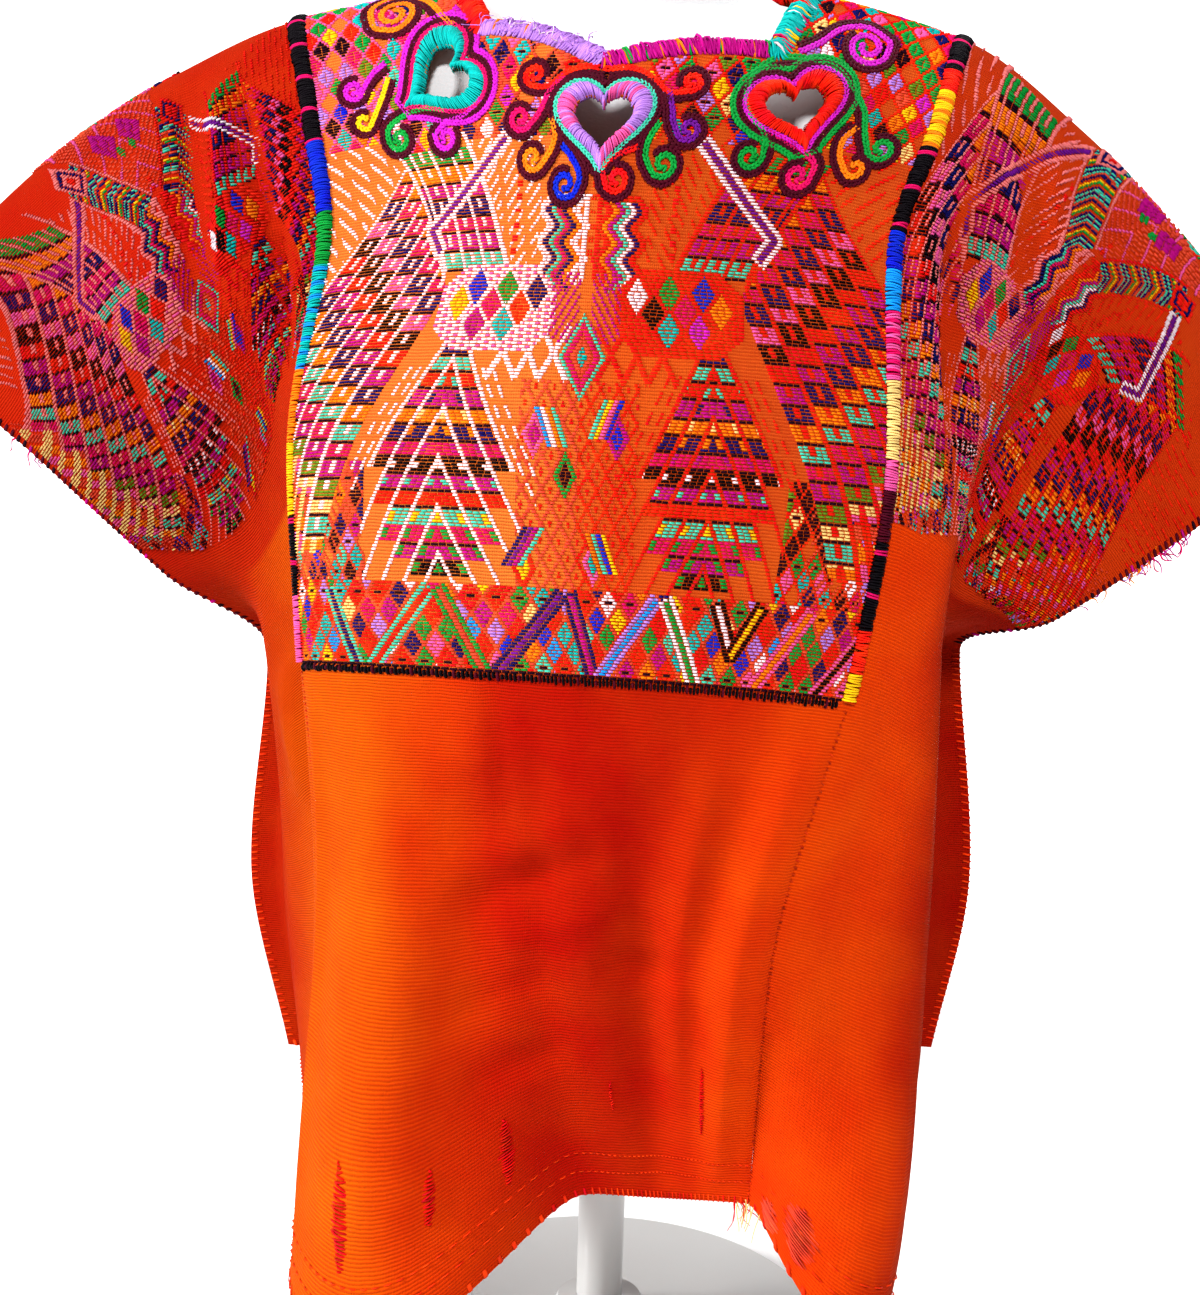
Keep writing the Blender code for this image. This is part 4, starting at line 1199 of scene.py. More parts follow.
# %% The whole yoke
def yoke_design(x, v, sleeve=False):
    """The threads of one width of yoke, pale lines on the wearer's right and red ones on the left."""
    cloth = Cloth(x, v)
    outer_foot, inner_foot = (66, 66) if sleeve else (103, 101)
    for side, pale in ((-1, "rose" if sleeve else "white"), (1, "red")):
        out = side * x
        here = out > 0
        shoulder, arm = here & (v < inner_foot) & (out <= 98), here & (v < outer_foot) & (out > 98)
        lozenge_field(cloth, arm, 10.5, 15.0, "pink" if side < 0 else "scarlet")
        lozenge_field(cloth, shoulder, 11.5, 16.0, "salmon" if side < 0 else "red", 3.0)
        bars = pale if side < 0 else "scarlet"
        corner = here & (out > wing_line(0, v) + 2) & (v > 96) & (v < 175)
        cloth.paint(corner, "ground")
        herringbone(cloth, corner, side, -0.9, 8.5, 13.0, bars)
        apron = here & (out < 74 - 0.54 * (v - 105)) & (out > 30) & (v > 101) & (v < 162)
        cloth.paint(apron, "ground")
        herringbone(cloth, apron, side, 1.35, 8.0, 12.5, bars)
        flank = here & (out > 118) & (v > 196)
        herringbone(cloth, flank & (cloth.threads == 0), side, -1.2, 7.0, 9.0, "salmon")
        half = Cloth(np.where(here, x, 1e6 * side), v)
        half.threads = cloth.threads
        for motif in (wing, upper_tree, lower_tree, dots, crosses, zigzag_band, diamond_cluster):
            motif(half, side, pale)
        if sleeve:
            collar(half, side, pale)
        bent_bar(half, side, "rose" if side < 0 and sleeve else "white")
        low = here & (out > 104) & (v > 250) & (half.threads == 0)
        lozenge_field(half, low & (v < 306), 9.5, 14.0, "salmon" if side < 0 else "scarlet")
    middle_figures(cloth)
    if sleeve:
        middle_patch(cloth)
        cloth.paint(v > 306, "ground")
    return cloth


STRIPES = (
    (-127, 310, -110, 347, "teal", "navy"), (-104, 347, -72, 308, "teal", "red"),
    (-66, 308, -45, 347, "green", "salmon"), (-41, 347, -8, 308, "navy", "purple"),
    (-2, 308, 12, 347, "navy", "magenta"), (13, 347, 43, 308, "lavender", "sky"),
    (49, 308, 70, 347, "white", "green"), (76, 308, 87, 330, "black", "white"),
    (87, 330, 99, 308, "black", "yellow"), (101, 347, 127, 308, "pink", "orange"),
    (138, 347, 160, 318, "pink", "black"),
)
FOOT_THREADS = (
    "sky", "yellow", "green", "red", "white", "hotpink", "turquoise", "navy", "pink",
    "orange", "magenta", "teal", "scarlet", "lavender", "green", "cream", "blue",
)


def foot_band(cloth):
    """The band of lozenges along the foot of the centre length's yoke, crossed by slanting bars."""
    x, v = cloth.x, cloth.v
    band = (v > 305) & (v < 345)
    cloth.paint(band, "salmon")
    a, b = x / 11.6 + v / 15.5, x / 11.6 - v / 15.5
    row, col = np.floor(a).astype(int), np.floor(b).astype(int)
    cloth.pick(band, FOOT_THREADS, np.abs(row * 5 + col * 8 + row * col))
    cloth.paint(band & (np.minimum(fraction(a), fraction(b)) < 0.17), "salmon")
    cloth.paint(band & ((row + 2 * col) % 5 == 0), "red")
    slit = (np.abs(fraction(a) - fraction(b)) < 0.07) & (np.abs(fraction(a) - 0.57) < 0.18)
    cloth.paint(band & slit & ((row + col) % 2 == 0), "plum")
    for x_from, v_from, x_to, v_to, outer, inner in STRIPES:
        cloth.paint(band & strip(x, v, x_from, v_from, x_to, v_to, 8.0), outer)
        cloth.paint(band & strip(x, v, x_from, v_from, x_to, v_to, 3.0), inner)
    cloth.paint(band & (v > 343), "plum")


# %% [markdown]
# One float is a cube whose top is drawn in to a ridge: eight triangles.  Smooth shading makes it look
# round, and its closed underside lies just inside the cloth.

# %% One float and many
def as_arrays(bm, shift=(0, 0, 0)):
    """The points and the triangles of a small mesh, ready to be repeated."""
    bmesh.ops.triangulate(bm, faces=bm.faces)
    bmesh.ops.recalc_face_normals(bm, faces=bm.faces)
    bm.verts.ensure_lookup_table()
    points = np.array([vert.co for vert in bm.verts]) + shift
    faces = np.array([[vert.index for vert in face.verts] for face in bm.faces])
    bm.free()
    return points, faces


bm = bmesh.new()
bmesh.ops.create_cube(bm, size=1.0)
for vert in bm.verts:
    if vert.co.z > 0:
        vert.co.x *= 0.70
        vert.co.y = 0.0
bmesh.ops.remove_doubles(bm, verts=bm.verts, dist=0.0001)
bmesh.ops.dissolve_degenerate(bm, edges=bm.edges, dist=0.0001)
FLOAT_POINTS, FLOAT_FACES = as_arrays(bm, (0, 0, 0.5))
print("one float:", len(FLOAT_POINTS), "points and", len(FLOAT_FACES), "triangles")


def joined_mesh(name, points, faces, colours, material, replaces=()):
    """One piece from many copies: points (copies, n, 3), faces of one copy, one colour for each copy."""
    copies, count = points.shape[:2]
    joined = faces[None] + np.arange(copies)[:, None, None] * count
    flat_points = points.reshape(-1, 3)
    corners = flat_points[joined]
    volumes = np.einsum("cfi,cfi->c", corners[:, :, 0], np.cross(corners[:, :, 1], corners[:, :, 2])) / 6
    joined[volumes < 0] = joined[volumes < 0][:, :, ::-1]
    joined = joined.reshape(-1, 3)
    mesh = bpy.data.meshes.new(name)
    mesh.from_pydata(flat_points.tolist(), [], joined.tolist())
    mesh.shade_smooth()
    dye = mesh.color_attributes.new("thread", "FLOAT_COLOR", "POINT")
    rgba = np.concatenate([np.repeat(colours, count, axis=0), np.ones((copies * count, 1))], axis=1)
    dye.data.foreach_set("color", rgba.ravel())
    volume = round(float(np.abs(volumes).sum()) * 1e6, 2)
    print(name, copies, "copies,", len(joined), "triangles, volume", volume, "cm3")
    return hand_over(name, mesh, material, replaces)


# %% Runs of thread into floats
def runs_of(threads, s_line, longest):
    """Every run of one thread in each row, cut into floats: row, from, to and thread."""
    step = s_line[1] - s_line[0]
    most = max(1, round(longest / step))
    found = []
    for row, line in enumerate(threads):
        cuts = np.flatnonzero(np.diff(line)) + 1
        for begin, stop in zip(np.r_[0, cuts], np.r_[cuts, len(line)]):
            if line[begin] == 0:
                continue
            pieces = max(1, ceil((stop - begin) / most))
            marks = np.linspace(begin, stop, pieces + 1)
            found += [(row, a, b, line[begin]) for a, b in zip(marks, marks[1:])]
    row, begin, stop, thread = np.array(found).T
    return row.astype(int), s_line[0] + begin * step, s_line[0] + stop * step, thread.astype(int)


FLOAT_RISE = 0.0011


def brocade(name, threads, s_line, t_line, longest, depth=1.0):
    """The floats of a stretch of brocade; depth below 1 darkens its threads with painted shade."""
    row, s_from, s_to, thread = runs_of(threads, s_line, longest)
    height = abs(t_line[1] - t_line[0])
    lively = np.random.default_rng(len(name) + len(row))
    middle, length = (s_from + s_to) / 2, s_to - s_from - 0.00012
    s = middle[:, None] + FLOAT_POINTS[None, :, 0] * length[:, None]
    t = t_line[row][:, None] + FLOAT_POINTS[None, :, 1] * height * 0.92
    t = t + lively.normal(0, height * 0.05, len(row))[:, None]
    rise = FLOAT_RISE * lively.uniform(0.8, 1.2, len(row))
    up = CLOTH_TOP - 0.0002 + FLOAT_POINTS[None, :, 2] * rise[:, None]
    shade = lively.normal(1.0, 0.07, (len(row), 1))
    # depth darkens the threads with painted shade; the random factor gives each float its own tone.
    colours = np.clip(COLOURS[thread] * depth * shade, 0, 1)
    return joined_mesh(name, on_cloth(s, t, up), FLOAT_FACES, colours, brocade_thread)


# %% Brocade thread
brocade_thread = thread_finish(
    "brocade thread", dict(roughness=0.7, gloss=0.08), dict(Amount=0.3, Scale=60.0), 1500.0, 0.5
)

# %% [markdown]
# The centre length shows the whole design in front and again behind; the front's rows are as close as
# the ribs, and the back's are a little wider.  On the side lengths the same design is woven narrower
# towards the seam, so its places are worked out from the seam before it is drawn.

# %% Weave the yokes
def is_hole(s, t, margin):
    """Inside the neck hole or a heart, or nearer to its edge than a margin."""
    hole = np.zeros(s.shape, bool)
    for outline in holes:
        points = np.array(outline)
        inside = np.zeros(s.shape, bool)
        near = np.zeros(s.shape, bool)
        for (s0, t0), (s1, t1) in zip(points, np.roll(points, -1, axis=0)):
            run_s, run_t = s1 - s0, t1 - t0
            crosses_row = (t0 > t) != (t1 > t)
            inside ^= crosses_row & (s < s0 + (t - t0) * run_s / (run_t or 1e-9))
            square = max(run_s**2 + run_t**2, 1e-12)
            along = np.clip(((s - s0) * run_s + (t - t0) * run_t) / square, 0, 1)
            near |= (s - s0 - along * run_s) ** 2 + (t - t0 - along * run_t) ** 2 < margin**2
        hole |= inside | near
    return hole


THREAD_STEP = 0.0006
MIDDLE = 0.002  # the design's middle line is a little off the cloth's
YOKE_LENGTH = 0.3475
EDGE_MARGIN = 0.0035  # bare ground round the holes


def weave_centre(name, front, rib, s_from, s_to):
    s_line = np.arange(s_from, s_to, THREAD_STEP)
    t_line = np.arange(0.0, YOKE_LENGTH, rib) + rib / 2
    s, t = np.meshgrid(s_line, t_line)
    cloth = yoke_design(1000 * (s - MIDDLE), 1000 * t)
    foot_band(cloth)
    sign = 1 if front else -1
    cloth.threads[is_hole(s, sign * t, EDGE_MARGIN)] = 0
    return brocade(name, cloth.threads, s_line, sign * t_line, 0.0040 if front else 0.0080)


HALF = CENTRE_HALF - 0.0040
yokes = [
    weave_centre("front_yoke_right", True, RIB, -HALF, MIDDLE),
    weave_centre("front_yoke_left", True, RIB, MIDDLE, HALF),
    weave_centre("back_yoke", False, 0.0022, -HALF, HALF),
]


# x and v of the design as sums of 1, p, q, pq, pp and qq, where p and q say how far a place is from home
HOME_S, HOME_T = 0.260, 0.120
SIDE_X = {-1: (-49.6, -169.1, -19.4, 2.2, 40.0, 35.5), 1: (22.1, 158.1, 21.3, 45.2, -32.0, -20.7)}
SIDE_V = {-1: (162.7, -17.6, 106.6, -19.6, 47.6, 19.1), 1: (158.2, -20.7, 90.4, 23.9, -29.3, 21.3)}


def side_places(s, t, side):
    """Where the side length's design is: it leans, and is set lower towards the sleeve's edge."""
    p, q = (np.abs(s) - HOME_S) * 10, (np.abs(t) - HOME_T) * 10
    terms = (np.ones(s.shape), p, q, p * q, p * p, q * q)
    return [sum(k * term for k, term in zip(factors[side], terms)) for factors in (SIDE_X, SIDE_V)]


def weave_side(name, side, front, rib):
    """A side length's brocade; the left one reaches lower, and both are darkened with painted shade, the right
    one more.
    """
    # depth darkens the threads of the sleeves with painted shade.
    reach, depth = (0.262, 0.80) if side > 0 else (0.248, 0.66)
    inner, outer = CENTRE_HALF + 0.0045, CENTRE_HALF + SIDE_WIDTH - 0.004
    ends = (inner, outer) if side > 0 else (-outer, -inner)
    s_line = np.arange(*ends, THREAD_STEP)
    t_line = np.arange(0.0, reach, rib) + rib / 2
    s, t = np.meshgrid(s_line, t_line)
    cloth = yoke_design(*side_places(s, t, side), sleeve=True)
    sign = 1 if front else -1
    return brocade(name, cloth.threads, s_line, sign * t_line, 0.0042 if front else 0.0072, depth)


for side, word in ((-1, "right"), (1, "left")):
    yokes.append(weave_side(f"{word}_sleeve_front", side, True, 0.0017))
    yokes.append(weave_side(f"{word}_sleeve_back", side, False, 0.0024))
print("brocade:", sum(len(piece.data.polygons) for piece in yokes), "triangles")

# %% [markdown]
# The hand stitches come next.  A satin or buttonhole stitch is a short thick bar, so one soft bar is
# modelled and repeated, each copy being bent over what it covers: the seam, the cut edge of a heart or
# the edge of the neck.

# %% One soft bar
def soft_bar(segments):
    """A bar along x from -0.5 to 0.5, narrowed at the top and cut into segments so that it can bend."""
    bm = bmesh.new()
    bmesh.ops.create_cube(bm, size=1.0)
    lengthwise = [edge for edge in bm.edges if abs(edge.verts[0].co.x - edge.verts[1].co.x) > 0.5]
    bmesh.ops.subdivide_edges(bm, edges=lengthwise, cuts=segments - 1, use_grid_fill=True)
    for vert in bm.verts:
        if vert.co.z > 0:
            vert.co.y *= 0.45
    return as_arrays(bm, (0.5, 0, 0.5))


def spaced(path, pitch):
    """Places along a line of points at an even pitch, with the way the line runs at each."""
    path = np.asarray(path, float)
    lengths = np.r_[0, np.cumsum(np.linalg.norm(np.diff(path, axis=0), axis=1))]
    count = max(2, round(lengths[-1] / pitch))
    marks = (np.arange(count) + 0.5) * lengths[-1] / count

    def at(marks):
        return np.column_stack([np.interp(marks, lengths, column) for column in path.T])

    runs = at(np.clip(marks + pitch / 2, 0, lengths[-1])) - at(np.clip(marks - pitch / 2, 0, lengths[-1]))
    return at(marks), runs / np.linalg.norm(runs, axis=1, keepdims=True)


def bars_between(starts, ends, widths, profile, thickness, prototype):
    """Bars laid from flat places to flat places, at the heights of a profile along each bar."""
    points, _ = prototype
    reach = ends - starts
    length = np.linalg.norm(reach, axis=1, keepdims=True)
    sideways = np.column_stack((-reach[:, 1], reach[:, 0])) / length
    along = points[None, :, 0, None] * reach[:, None, :]
    across = (points[None, :, 1] * widths[:, None])[..., None] * sideways[:, None, :]
    flat_places = starts[:, None, :] + along + across
    height = np.interp(points[:, 0], *profile)[None, :] + points[None, :, 2] * thickness
    return on_cloth(flat_places[..., 0], flat_places[..., 1], np.broadcast_to(height, flat_places.shape[:2]))


stitch_thread = thread_finish(
    "embroidery thread", dict(roughness=0.62, gloss=0.10), dict(Amount=0.35, Scale=90.0), 1700.0, 0.6
)


def colours_of(names, lively, spread=0.08):
    base = np.array([COLOURS[NUMBER[name]] for name in names])
    return np.clip(base * lively.normal(1.0, spread, (len(base), 1)), 0, 1)


# %% [markdown]
# The two selvedges are joined by a randa, a close stitch that changes colour every few centimetres.
# Its dark stretches are crossed by thin pairs of pink stitches.

# %% Joining stitches
RANDA_WIDTH = 0.0085
Stretch = namedtuple("Stretch", "t_to names")
DARK = ("black",) * 7 + ("hotpink",)
RANDA_LEFT = (
    (-0.300, DARK), (-0.250, ("green",)), (-0.200, ("blue",)), (-0.140, DARK), (-0.090, ("red",)),
    (-0.040, ("orange",)), (0.036, DARK), (0.050, ("red",)), (0.085, ("yellow", "orange", "yellow")),
    (0.130, DARK), (0.148, ("blue",)), (0.168, ("sky",)), (0.200, ("pink", "hotpink")),
    (0.236, ("cream",)), (0.250, ("pink",)), (0.272, ("maroon",)), (0.312, DARK),
    (0.331, ("scarlet",)), (0.360, ("yellow",)),
)
RANDA_RIGHT = (
    (-0.290, ("red",)), (-0.240, DARK), (-0.190, ("turquoise",)), (-0.120, ("magenta",)),
    (-0.050, ("green",)), (0.088, DARK), (0.125, ("blue",)), (0.152, ("green",)),
    (0.205, ("turquoise", "sky", "turquoise")), (0.240, ("orange",)), (0.275, ("yellow",)),
    (0.312, DARK), (0.360, ("pink",)),
)
RANDA_REACH, RANDA_START, RANDA_PITCH = 0.3447, 0.0006, 0.00118


def randa(name, node, s_at, stretches):
    lively = np.random.default_rng(31)
    t = np.arange(-RANDA_REACH + RANDA_START, RANDA_REACH, RANDA_PITCH)
    t = t + lively.normal(0, 0.00012, len(t))
    names = []
    for number, place in enumerate(t):
        stretch = next(Stretch(*row) for row in stretches if place < row[0])
        names.append(stretch.names[(number // 2) % len(stretch.names)])
    half = RANDA_WIDTH / 2 * lively.uniform(0.9, 1.12, len(t))
    skew = lively.normal(0, 0.0004, len(t))
    starts, ends = np.column_stack((s_at - half, t - skew)), np.column_stack((s_at + half, t + skew))
    profile = ((0, 0.18, 0.5, 0.82, 1), (-0.0004, 0.0008, 0.0014, 0.0008, -0.0004))
    bar = soft_bar(5)
    points = bars_between(starts, ends, np.full(len(t), 0.00132), profile, 0.0011, bar)
    colours = colours_of(names, lively)
    return joined_mesh(name, points, bar[1], colours, stitch_thread, (node,))


randa("right_joining_stitch", "randa_right", -CENTRE_HALF, RANDA_RIGHT)
randa("left_joining_stitch", "randa_left", CENTRE_HALF, RANDA_LEFT)

# %% [markdown]
# Each heart is cut out and its edge is covered with satin stitch: long bars that run out from inside
# the hole, packed so closely that they crowd where the outline turns in.

# %% Satin rims
RIM_WIDTH = 0.0085
SATIN_PITCH = 0.0015


def closed_line(points):
    return np.vstack((points, points[:1]))


def satin_rim(name, heart, node, names, seed):
    lively = np.random.default_rng(seed)
    outer = np.array(heart_outline(heart, RIM_WIDTH + 0.0002, 240))
    inner = np.array(heart_outline(heart, -0.0004, 240))
    both, _ = spaced(closed_line(np.column_stack((outer, inner))), SATIN_PITCH)
    count = len(both)
    ends = both[:, :2] + lively.normal(0, 0.00022, (count, 2))
    starts = both[:, 2:] + lively.normal(0, 0.00030, (count, 2))
    profile = ((0, 0.12, 0.35, 0.7, 1), (-0.0022, 0.0008, 0.0022, 0.0016, -0.0002))
    bar = soft_bar(7)
    first = (np.sin(np.linspace(0, 6 * pi, count)) + lively.normal(0, 0.5, count)) > 0.2
    picked = np.where(first, *names)
    points = bars_between(starts, ends, np.full(count, 0.0013), profile, 0.0012, bar)
    return joined_mesh(name, points, bar[1], colours_of(picked, lively, 0.1), stitch_thread, (node,))


satin_rim("turquoise_heart", HEARTS[0], "heart_rim_right", ("turquoise", "turquoise"), 5)
satin_rim("pink_heart", HEARTS[1], "heart_rim_centre", ("pink", "lavender"), 7)
satin_rim("red_heart", HEARTS[2], "heart_rim_left", ("red", "scarlet"), 9)

# %% [markdown]
# The neck's cut edge is bound with buttonhole stitch in bright lengths of thread, worked over the edge
# so that it rolls inwards.  Every bar starts on the cloth, climbs over the edge and tucks in behind.

# %% Neck binding
INWARD = ((0, 0.30, 0.42, 0.56, 0.70, 0.85, 1.0), (-0.0042, -0.0010, 0.0010, 0.0034, 0.0060, 0.0062, 0.0036))
UP = (INWARD[0], (0.0000, 0.0016, 0.0030, 0.0034, 0.0016, -0.0018, -0.0036))


STRAYS = ("yellow", "red", "white", "hotpink")


def binding_colour(s, t, lively):
    """Bright lengths of thread: red, lilac, magenta and turquoise in front, more of them behind."""
    if t > 0.004:
        if s < -0.070:
            return "red"
        if s < -0.002:
            return "lavender" if lively.random() > 0.06 else "orange"
        if s < 0.076:
            return "magenta" if lively.random() > 0.10 else ("orange", "green")[lively.integers(2)]
        return "turquoise" if lively.random() > 0.28 else STRAYS[lively.integers(4)]
    return ("magenta", "orange", "lavender", "green", "red")[int((s + 0.1) / 0.041) % 5]


def neck_edge():
    flat, _ = spaced(closed_line(np.array(neck_outline())), 0.0008)
    flat = closed_line(flat)
    edge = on_cloth(flat[:, 0], flat[:, 1], -0.0008)
    over = on_cloth(flat[:, 0], flat[:, 1], 0.0012)
    places, runs = spaced(np.column_stack((edge, over, flat)), 0.0013)
    return places[:, :3], places[:, 3:6], places[:, 6:]


def bent_path(points, thickness, first, second, hand):
    """Where a bar's points are in two numbers, laid along a path and thickened square to it."""
    x = points[:, 0]
    step_first, step_second = [
        np.interp(x + 0.02, *path) - np.interp(x - 0.02, *path) for path in (first, second)
    ]
    lift = hand * points[:, 2] * thickness / np.hypot(step_first, step_second)
    return np.interp(x, *first) + step_second * lift, np.interp(x, *second) - step_first * lift


def over_the_edge(edge, over, prototype, width, thickness, inward_at, up_at):
    """Bars bent round the neck's edge, in worn places."""
    points, _ = prototype
    up = over - edge
    up /= np.linalg.norm(up, axis=1, keepdims=True)
    run = np.roll(edge, -2, axis=0) - np.roll(edge, 2, axis=0)
    run /= np.linalg.norm(run, axis=1, keepdims=True)
    inward = np.cross(up, run)
    middle = edge.mean(axis=0)
    inward *= np.sign(np.einsum("ij,ij->i", inward, middle - edge))[:, None]
    place_in, place_up = bent_path(points, thickness, inward_at, up_at, -1)
    place_in, place_up = place_in[None, :, None], place_up[None, :, None]
    sideways = (points[:, 1] * width)[None, :, None]
    placed_in = edge[:, None] + inward[:, None] * place_in
    return placed_in + up[:, None] * place_up + run[:, None] * sideways


edge_neck, over_neck, flat_neck = neck_edge()
lively = np.random.default_rng(12)
names = [binding_colour(s, t, lively) for s, t in flat_neck]
bar = soft_bar(7)
ragged = edge_neck + lively.normal(0, 0.00025, edge_neck.shape)
joined_mesh(
    "bound_neck", over_the_edge(ragged, over_neck, bar, 0.0014, 0.0009, INWARD, UP), bar[1],
    colours_of(names, lively, 0.12), stitch_thread, ("neck_binding",),
)

# %% [markdown]
# The scrolls are chain stitch: links worked one into the next, in a coloured row with maroon rows
# beside it.  One seed-shaped pad, tilted left and right by turns, gives the chain its braided look.
# The curls are not copied: each is a spiral worked out from its centre and the line that leads to it.

# %% Chain stitch
def seed():
    bm = bmesh.new()
    bmesh.ops.create_uvsphere(bm, u_segments=6, v_segments=3, radius=0.5)
    bmesh.ops.rotate(bm, cent=(0, 0, 0), matrix=Matrix.Rotation(pi / 2, 3, "Y"), verts=bm.verts)
    return as_arrays(bm)


SEED = seed()
LINK = 0.0021  # from one link of a chain to the next
TILT = 0.42  # radians that a seed leans from its chain's line
LINE_STEP = 0.0006
chain_places, chain_colours = [], []
chain_lively = np.random.default_rng(77)


def smooth_line(points):
    """A curve through flat points, as even small steps."""
    points = np.asarray(points, float)
    padded = np.vstack((2 * points[0] - points[1], points, 2 * points[-1] - points[-2]))
    u = np.linspace(0, 1, 24, endpoint=False)[:, None]
    stretches = [
        0.5 * (2 * b + (c - a) * u + (2 * a - 5 * b + 4 * c - d) * u**2 + (3 * b - a - 3 * c + d) * u**3)
        for a, b, c, d in zip(padded, padded[1:], padded[2:], padded[3:])
    ]
    return spaced(np.vstack(stretches + [points[-1:]]), LINE_STEP)[0]


def chain(line, name, width=0.0030, rise=0.0013):
    """A row of chain stitch along a flat line: two tilted seeds for each link."""
    places, runs = spaced(line, LINK)
    on = ~is_hole(*places.T, 0.0030)
    places, runs = places[on], runs[on]
    across = np.column_stack((-runs[:, 1], runs[:, 0]))
    points = SEED[0]
    for hand in (-1, 1):
        tilt = hand * TILT
        ahead_s = runs[:, 0] * cos(tilt) - runs[:, 1] * sin(tilt)
        ahead_t = runs[:, 0] * sin(tilt) + runs[:, 1] * cos(tilt)
        way = np.column_stack((ahead_s, ahead_t))
        side_way = np.column_stack((-ahead_t, ahead_s))
        middle = places - across * hand * width * 0.24 + chain_lively.normal(0, 0.00010, places.shape)
        flat = middle[:, None, :] + points[None, :, 0, None] * way[:, None, :] * LINK * 1.75
        flat = flat + points[None, :, 1, None] * side_way[:, None, :] * width * 0.62
        height = 0.0005 + points[None, :, 2] * rise + np.zeros((len(places), 1))
        chain_places.append(on_cloth(flat[..., 0], flat[..., 1], height))
        chain_colours.append(colours_of([name] * len(places), chain_lively, 0.10))


def set_beside(line, distance):
    """A line set off to one side, left free of the loops that sharp turns would make."""
    places, runs = spaced(line, LINE_STEP)
    beside = places + np.column_stack((-runs[:, 1], runs[:, 0])) * distance
    gaps = np.sqrt(((beside[:, None, :] - places[None, :, :]) ** 2).sum(axis=2)).min(axis=1)
    kept = beside[gaps > abs(distance) * 0.97]
    return smooth_line(kept[::3]) if len(kept) > 12 else kept


def curl(points, centre, turns):
    """A line through points that winds into a spiral about its centre."""
    points, centre = np.array(points) / 1000, np.array(centre) / 1000
    arm = points[-1] - centre
    came = points[-1] - points[-2]
    way = np.sign(arm[0] * came[1] - arm[1] * came[0])
    start_angle, radius = atan2(arm[1], arm[0]), hypot(*arm)
    u = np.linspace(0, 1, 40)[1:]
    angles = start_angle + way * u * turns * 2 * pi
    radii = radius * (1 - 0.80 * u**0.85)
    spiral = centre + np.column_stack((np.cos(angles), np.sin(angles))) * radii[:, None]
    return smooth_line(np.vstack((points, spiral[::3]))), way


Scroll = namedtuple("Scroll", "thread points centre turns")
SCROLLS = [Scroll(*row) for row in (
    ("orchid", ((-66, 80), (-76, 88), (-88, 91), (-95, 96)), (-88.5, 98.5), 1.35),
    ("orchid", ((-122, 52), (-130, 57), (-134, 62), (-138, 69)), (-140.5, 63.5), 1.3),
    ("yellow", ((-121, 60), (-124, 68), (-128, 77), (-134, 87)), (-136.5, 82.5), 0.9),
    ("green", ((-88, 84), (-100, 82), (-114, 84), (-123, 89), (-124, 95)), (-117.5, 95.5), 1.4),
    ("orange", ((-104, 12), (-112, 8), (-122, 10), (-128, 18), (-127, 30)), (-116.5, 24.5), 1.8),
    ("orange", ((-110, 12), (-100, 20), (-92, 32), (-87, 38)), (-85.5, 36.5), 0.2),
    ("scarlet", ((1.5, 66.5), (-10, 65.5), (-20, 69), (-28, 76), (-37, 75.5)), (-36, 69.5), 1.35),
    ("scarlet", ((1.5, 66.5), (14, 65.5), (24, 70), (33, 77), (42, 76)), (43, 70.5), 1.35),
    ("hotpink", ((-20, 70), (-27, 79), (-32, 90), (-38, 97)), (-42.5, 92), 1.35),
    ("orange", ((-25, 92), (-22, 100), (-24, 108), (-30, 116)), (-34.5, 111.5), 1.25),
    ("blue", ((-18, 105), (-11, 112), (-6.5, 120), (-9, 128)), (-14.5, 123.5), 1.35),
    ("red", ((23, 105), (13, 109), (6, 115), (8, 124)), (13.5, 120.5), 1.35),
    ("green", ((32, 92), (28, 100), (27, 109), (32, 117)), (37, 112), 1.35),
    ("purple", ((33, 76), (36, 84), (38, 92), (42, 99)), (46.5, 95), 1.35),
    ("green", ((100, 50.5), (110, 52.5), (120, 61), (128, 72), (132, 85), (137, 95)), (142.5, 91), 1.35),
    ("green", ((100, 50.5), (88, 51), (76, 56), (70, 68), (73, 82), (84, 94), (86, 103)), (79.5, 105), 1.35),
    ("hotpink", ((84, 92), (94, 95), (106, 100), (113, 105), (112, 114)), (106, 111.5), 1.35),
    ("orange", ((128, 82), (123, 90), (124, 99), (130, 107)), (133.5, 103), 0.95),
    ("orchid", ((90, 48), (99, 41), (108, 30), (120, 25), (131, 30)), (122, 37), 1.8),
)]
for scroll in SCROLLS:
    line, way = curl(scroll.points, scroll.centre, scroll.turns)
    chain(line, scroll.thread)
    chain(set_beside(line, -way * 0.0033), "maroon", width=0.0034)


def round_heart(heart, distance):
    """A line round a heart's satin rim, set off by a distance."""
    rim = np.array(heart_outline(heart, RIM_WIDTH, 160))
    return closed_line(set_beside(closed_line(rim), -distance))


for heart, inner_thread, outer_thread in zip(HEARTS, ("hotpink", "teal", "orchid"), ("orchid", None, "green")):
    chain(round_heart(heart, 0.0012), inner_thread, width=0.0024, rise=0.0014)
    chain(round_heart(heart, 0.0040), "maroon", width=0.0032)
    if outer_thread:
        chain(round_heart(heart, 0.0068), outer_thread)
joined_mesh(
    "chain_scrolls", np.concatenate(chain_places), SEED[1], np.concatenate(chain_colours),
    stitch_thread,
)

# %% [markdown]
# The yoke's foot is finished with a whipped line, and below it the three lengths are joined with small
# slanting stitches that pull the selvedges together.  These are short bars laid flat on the cloth.

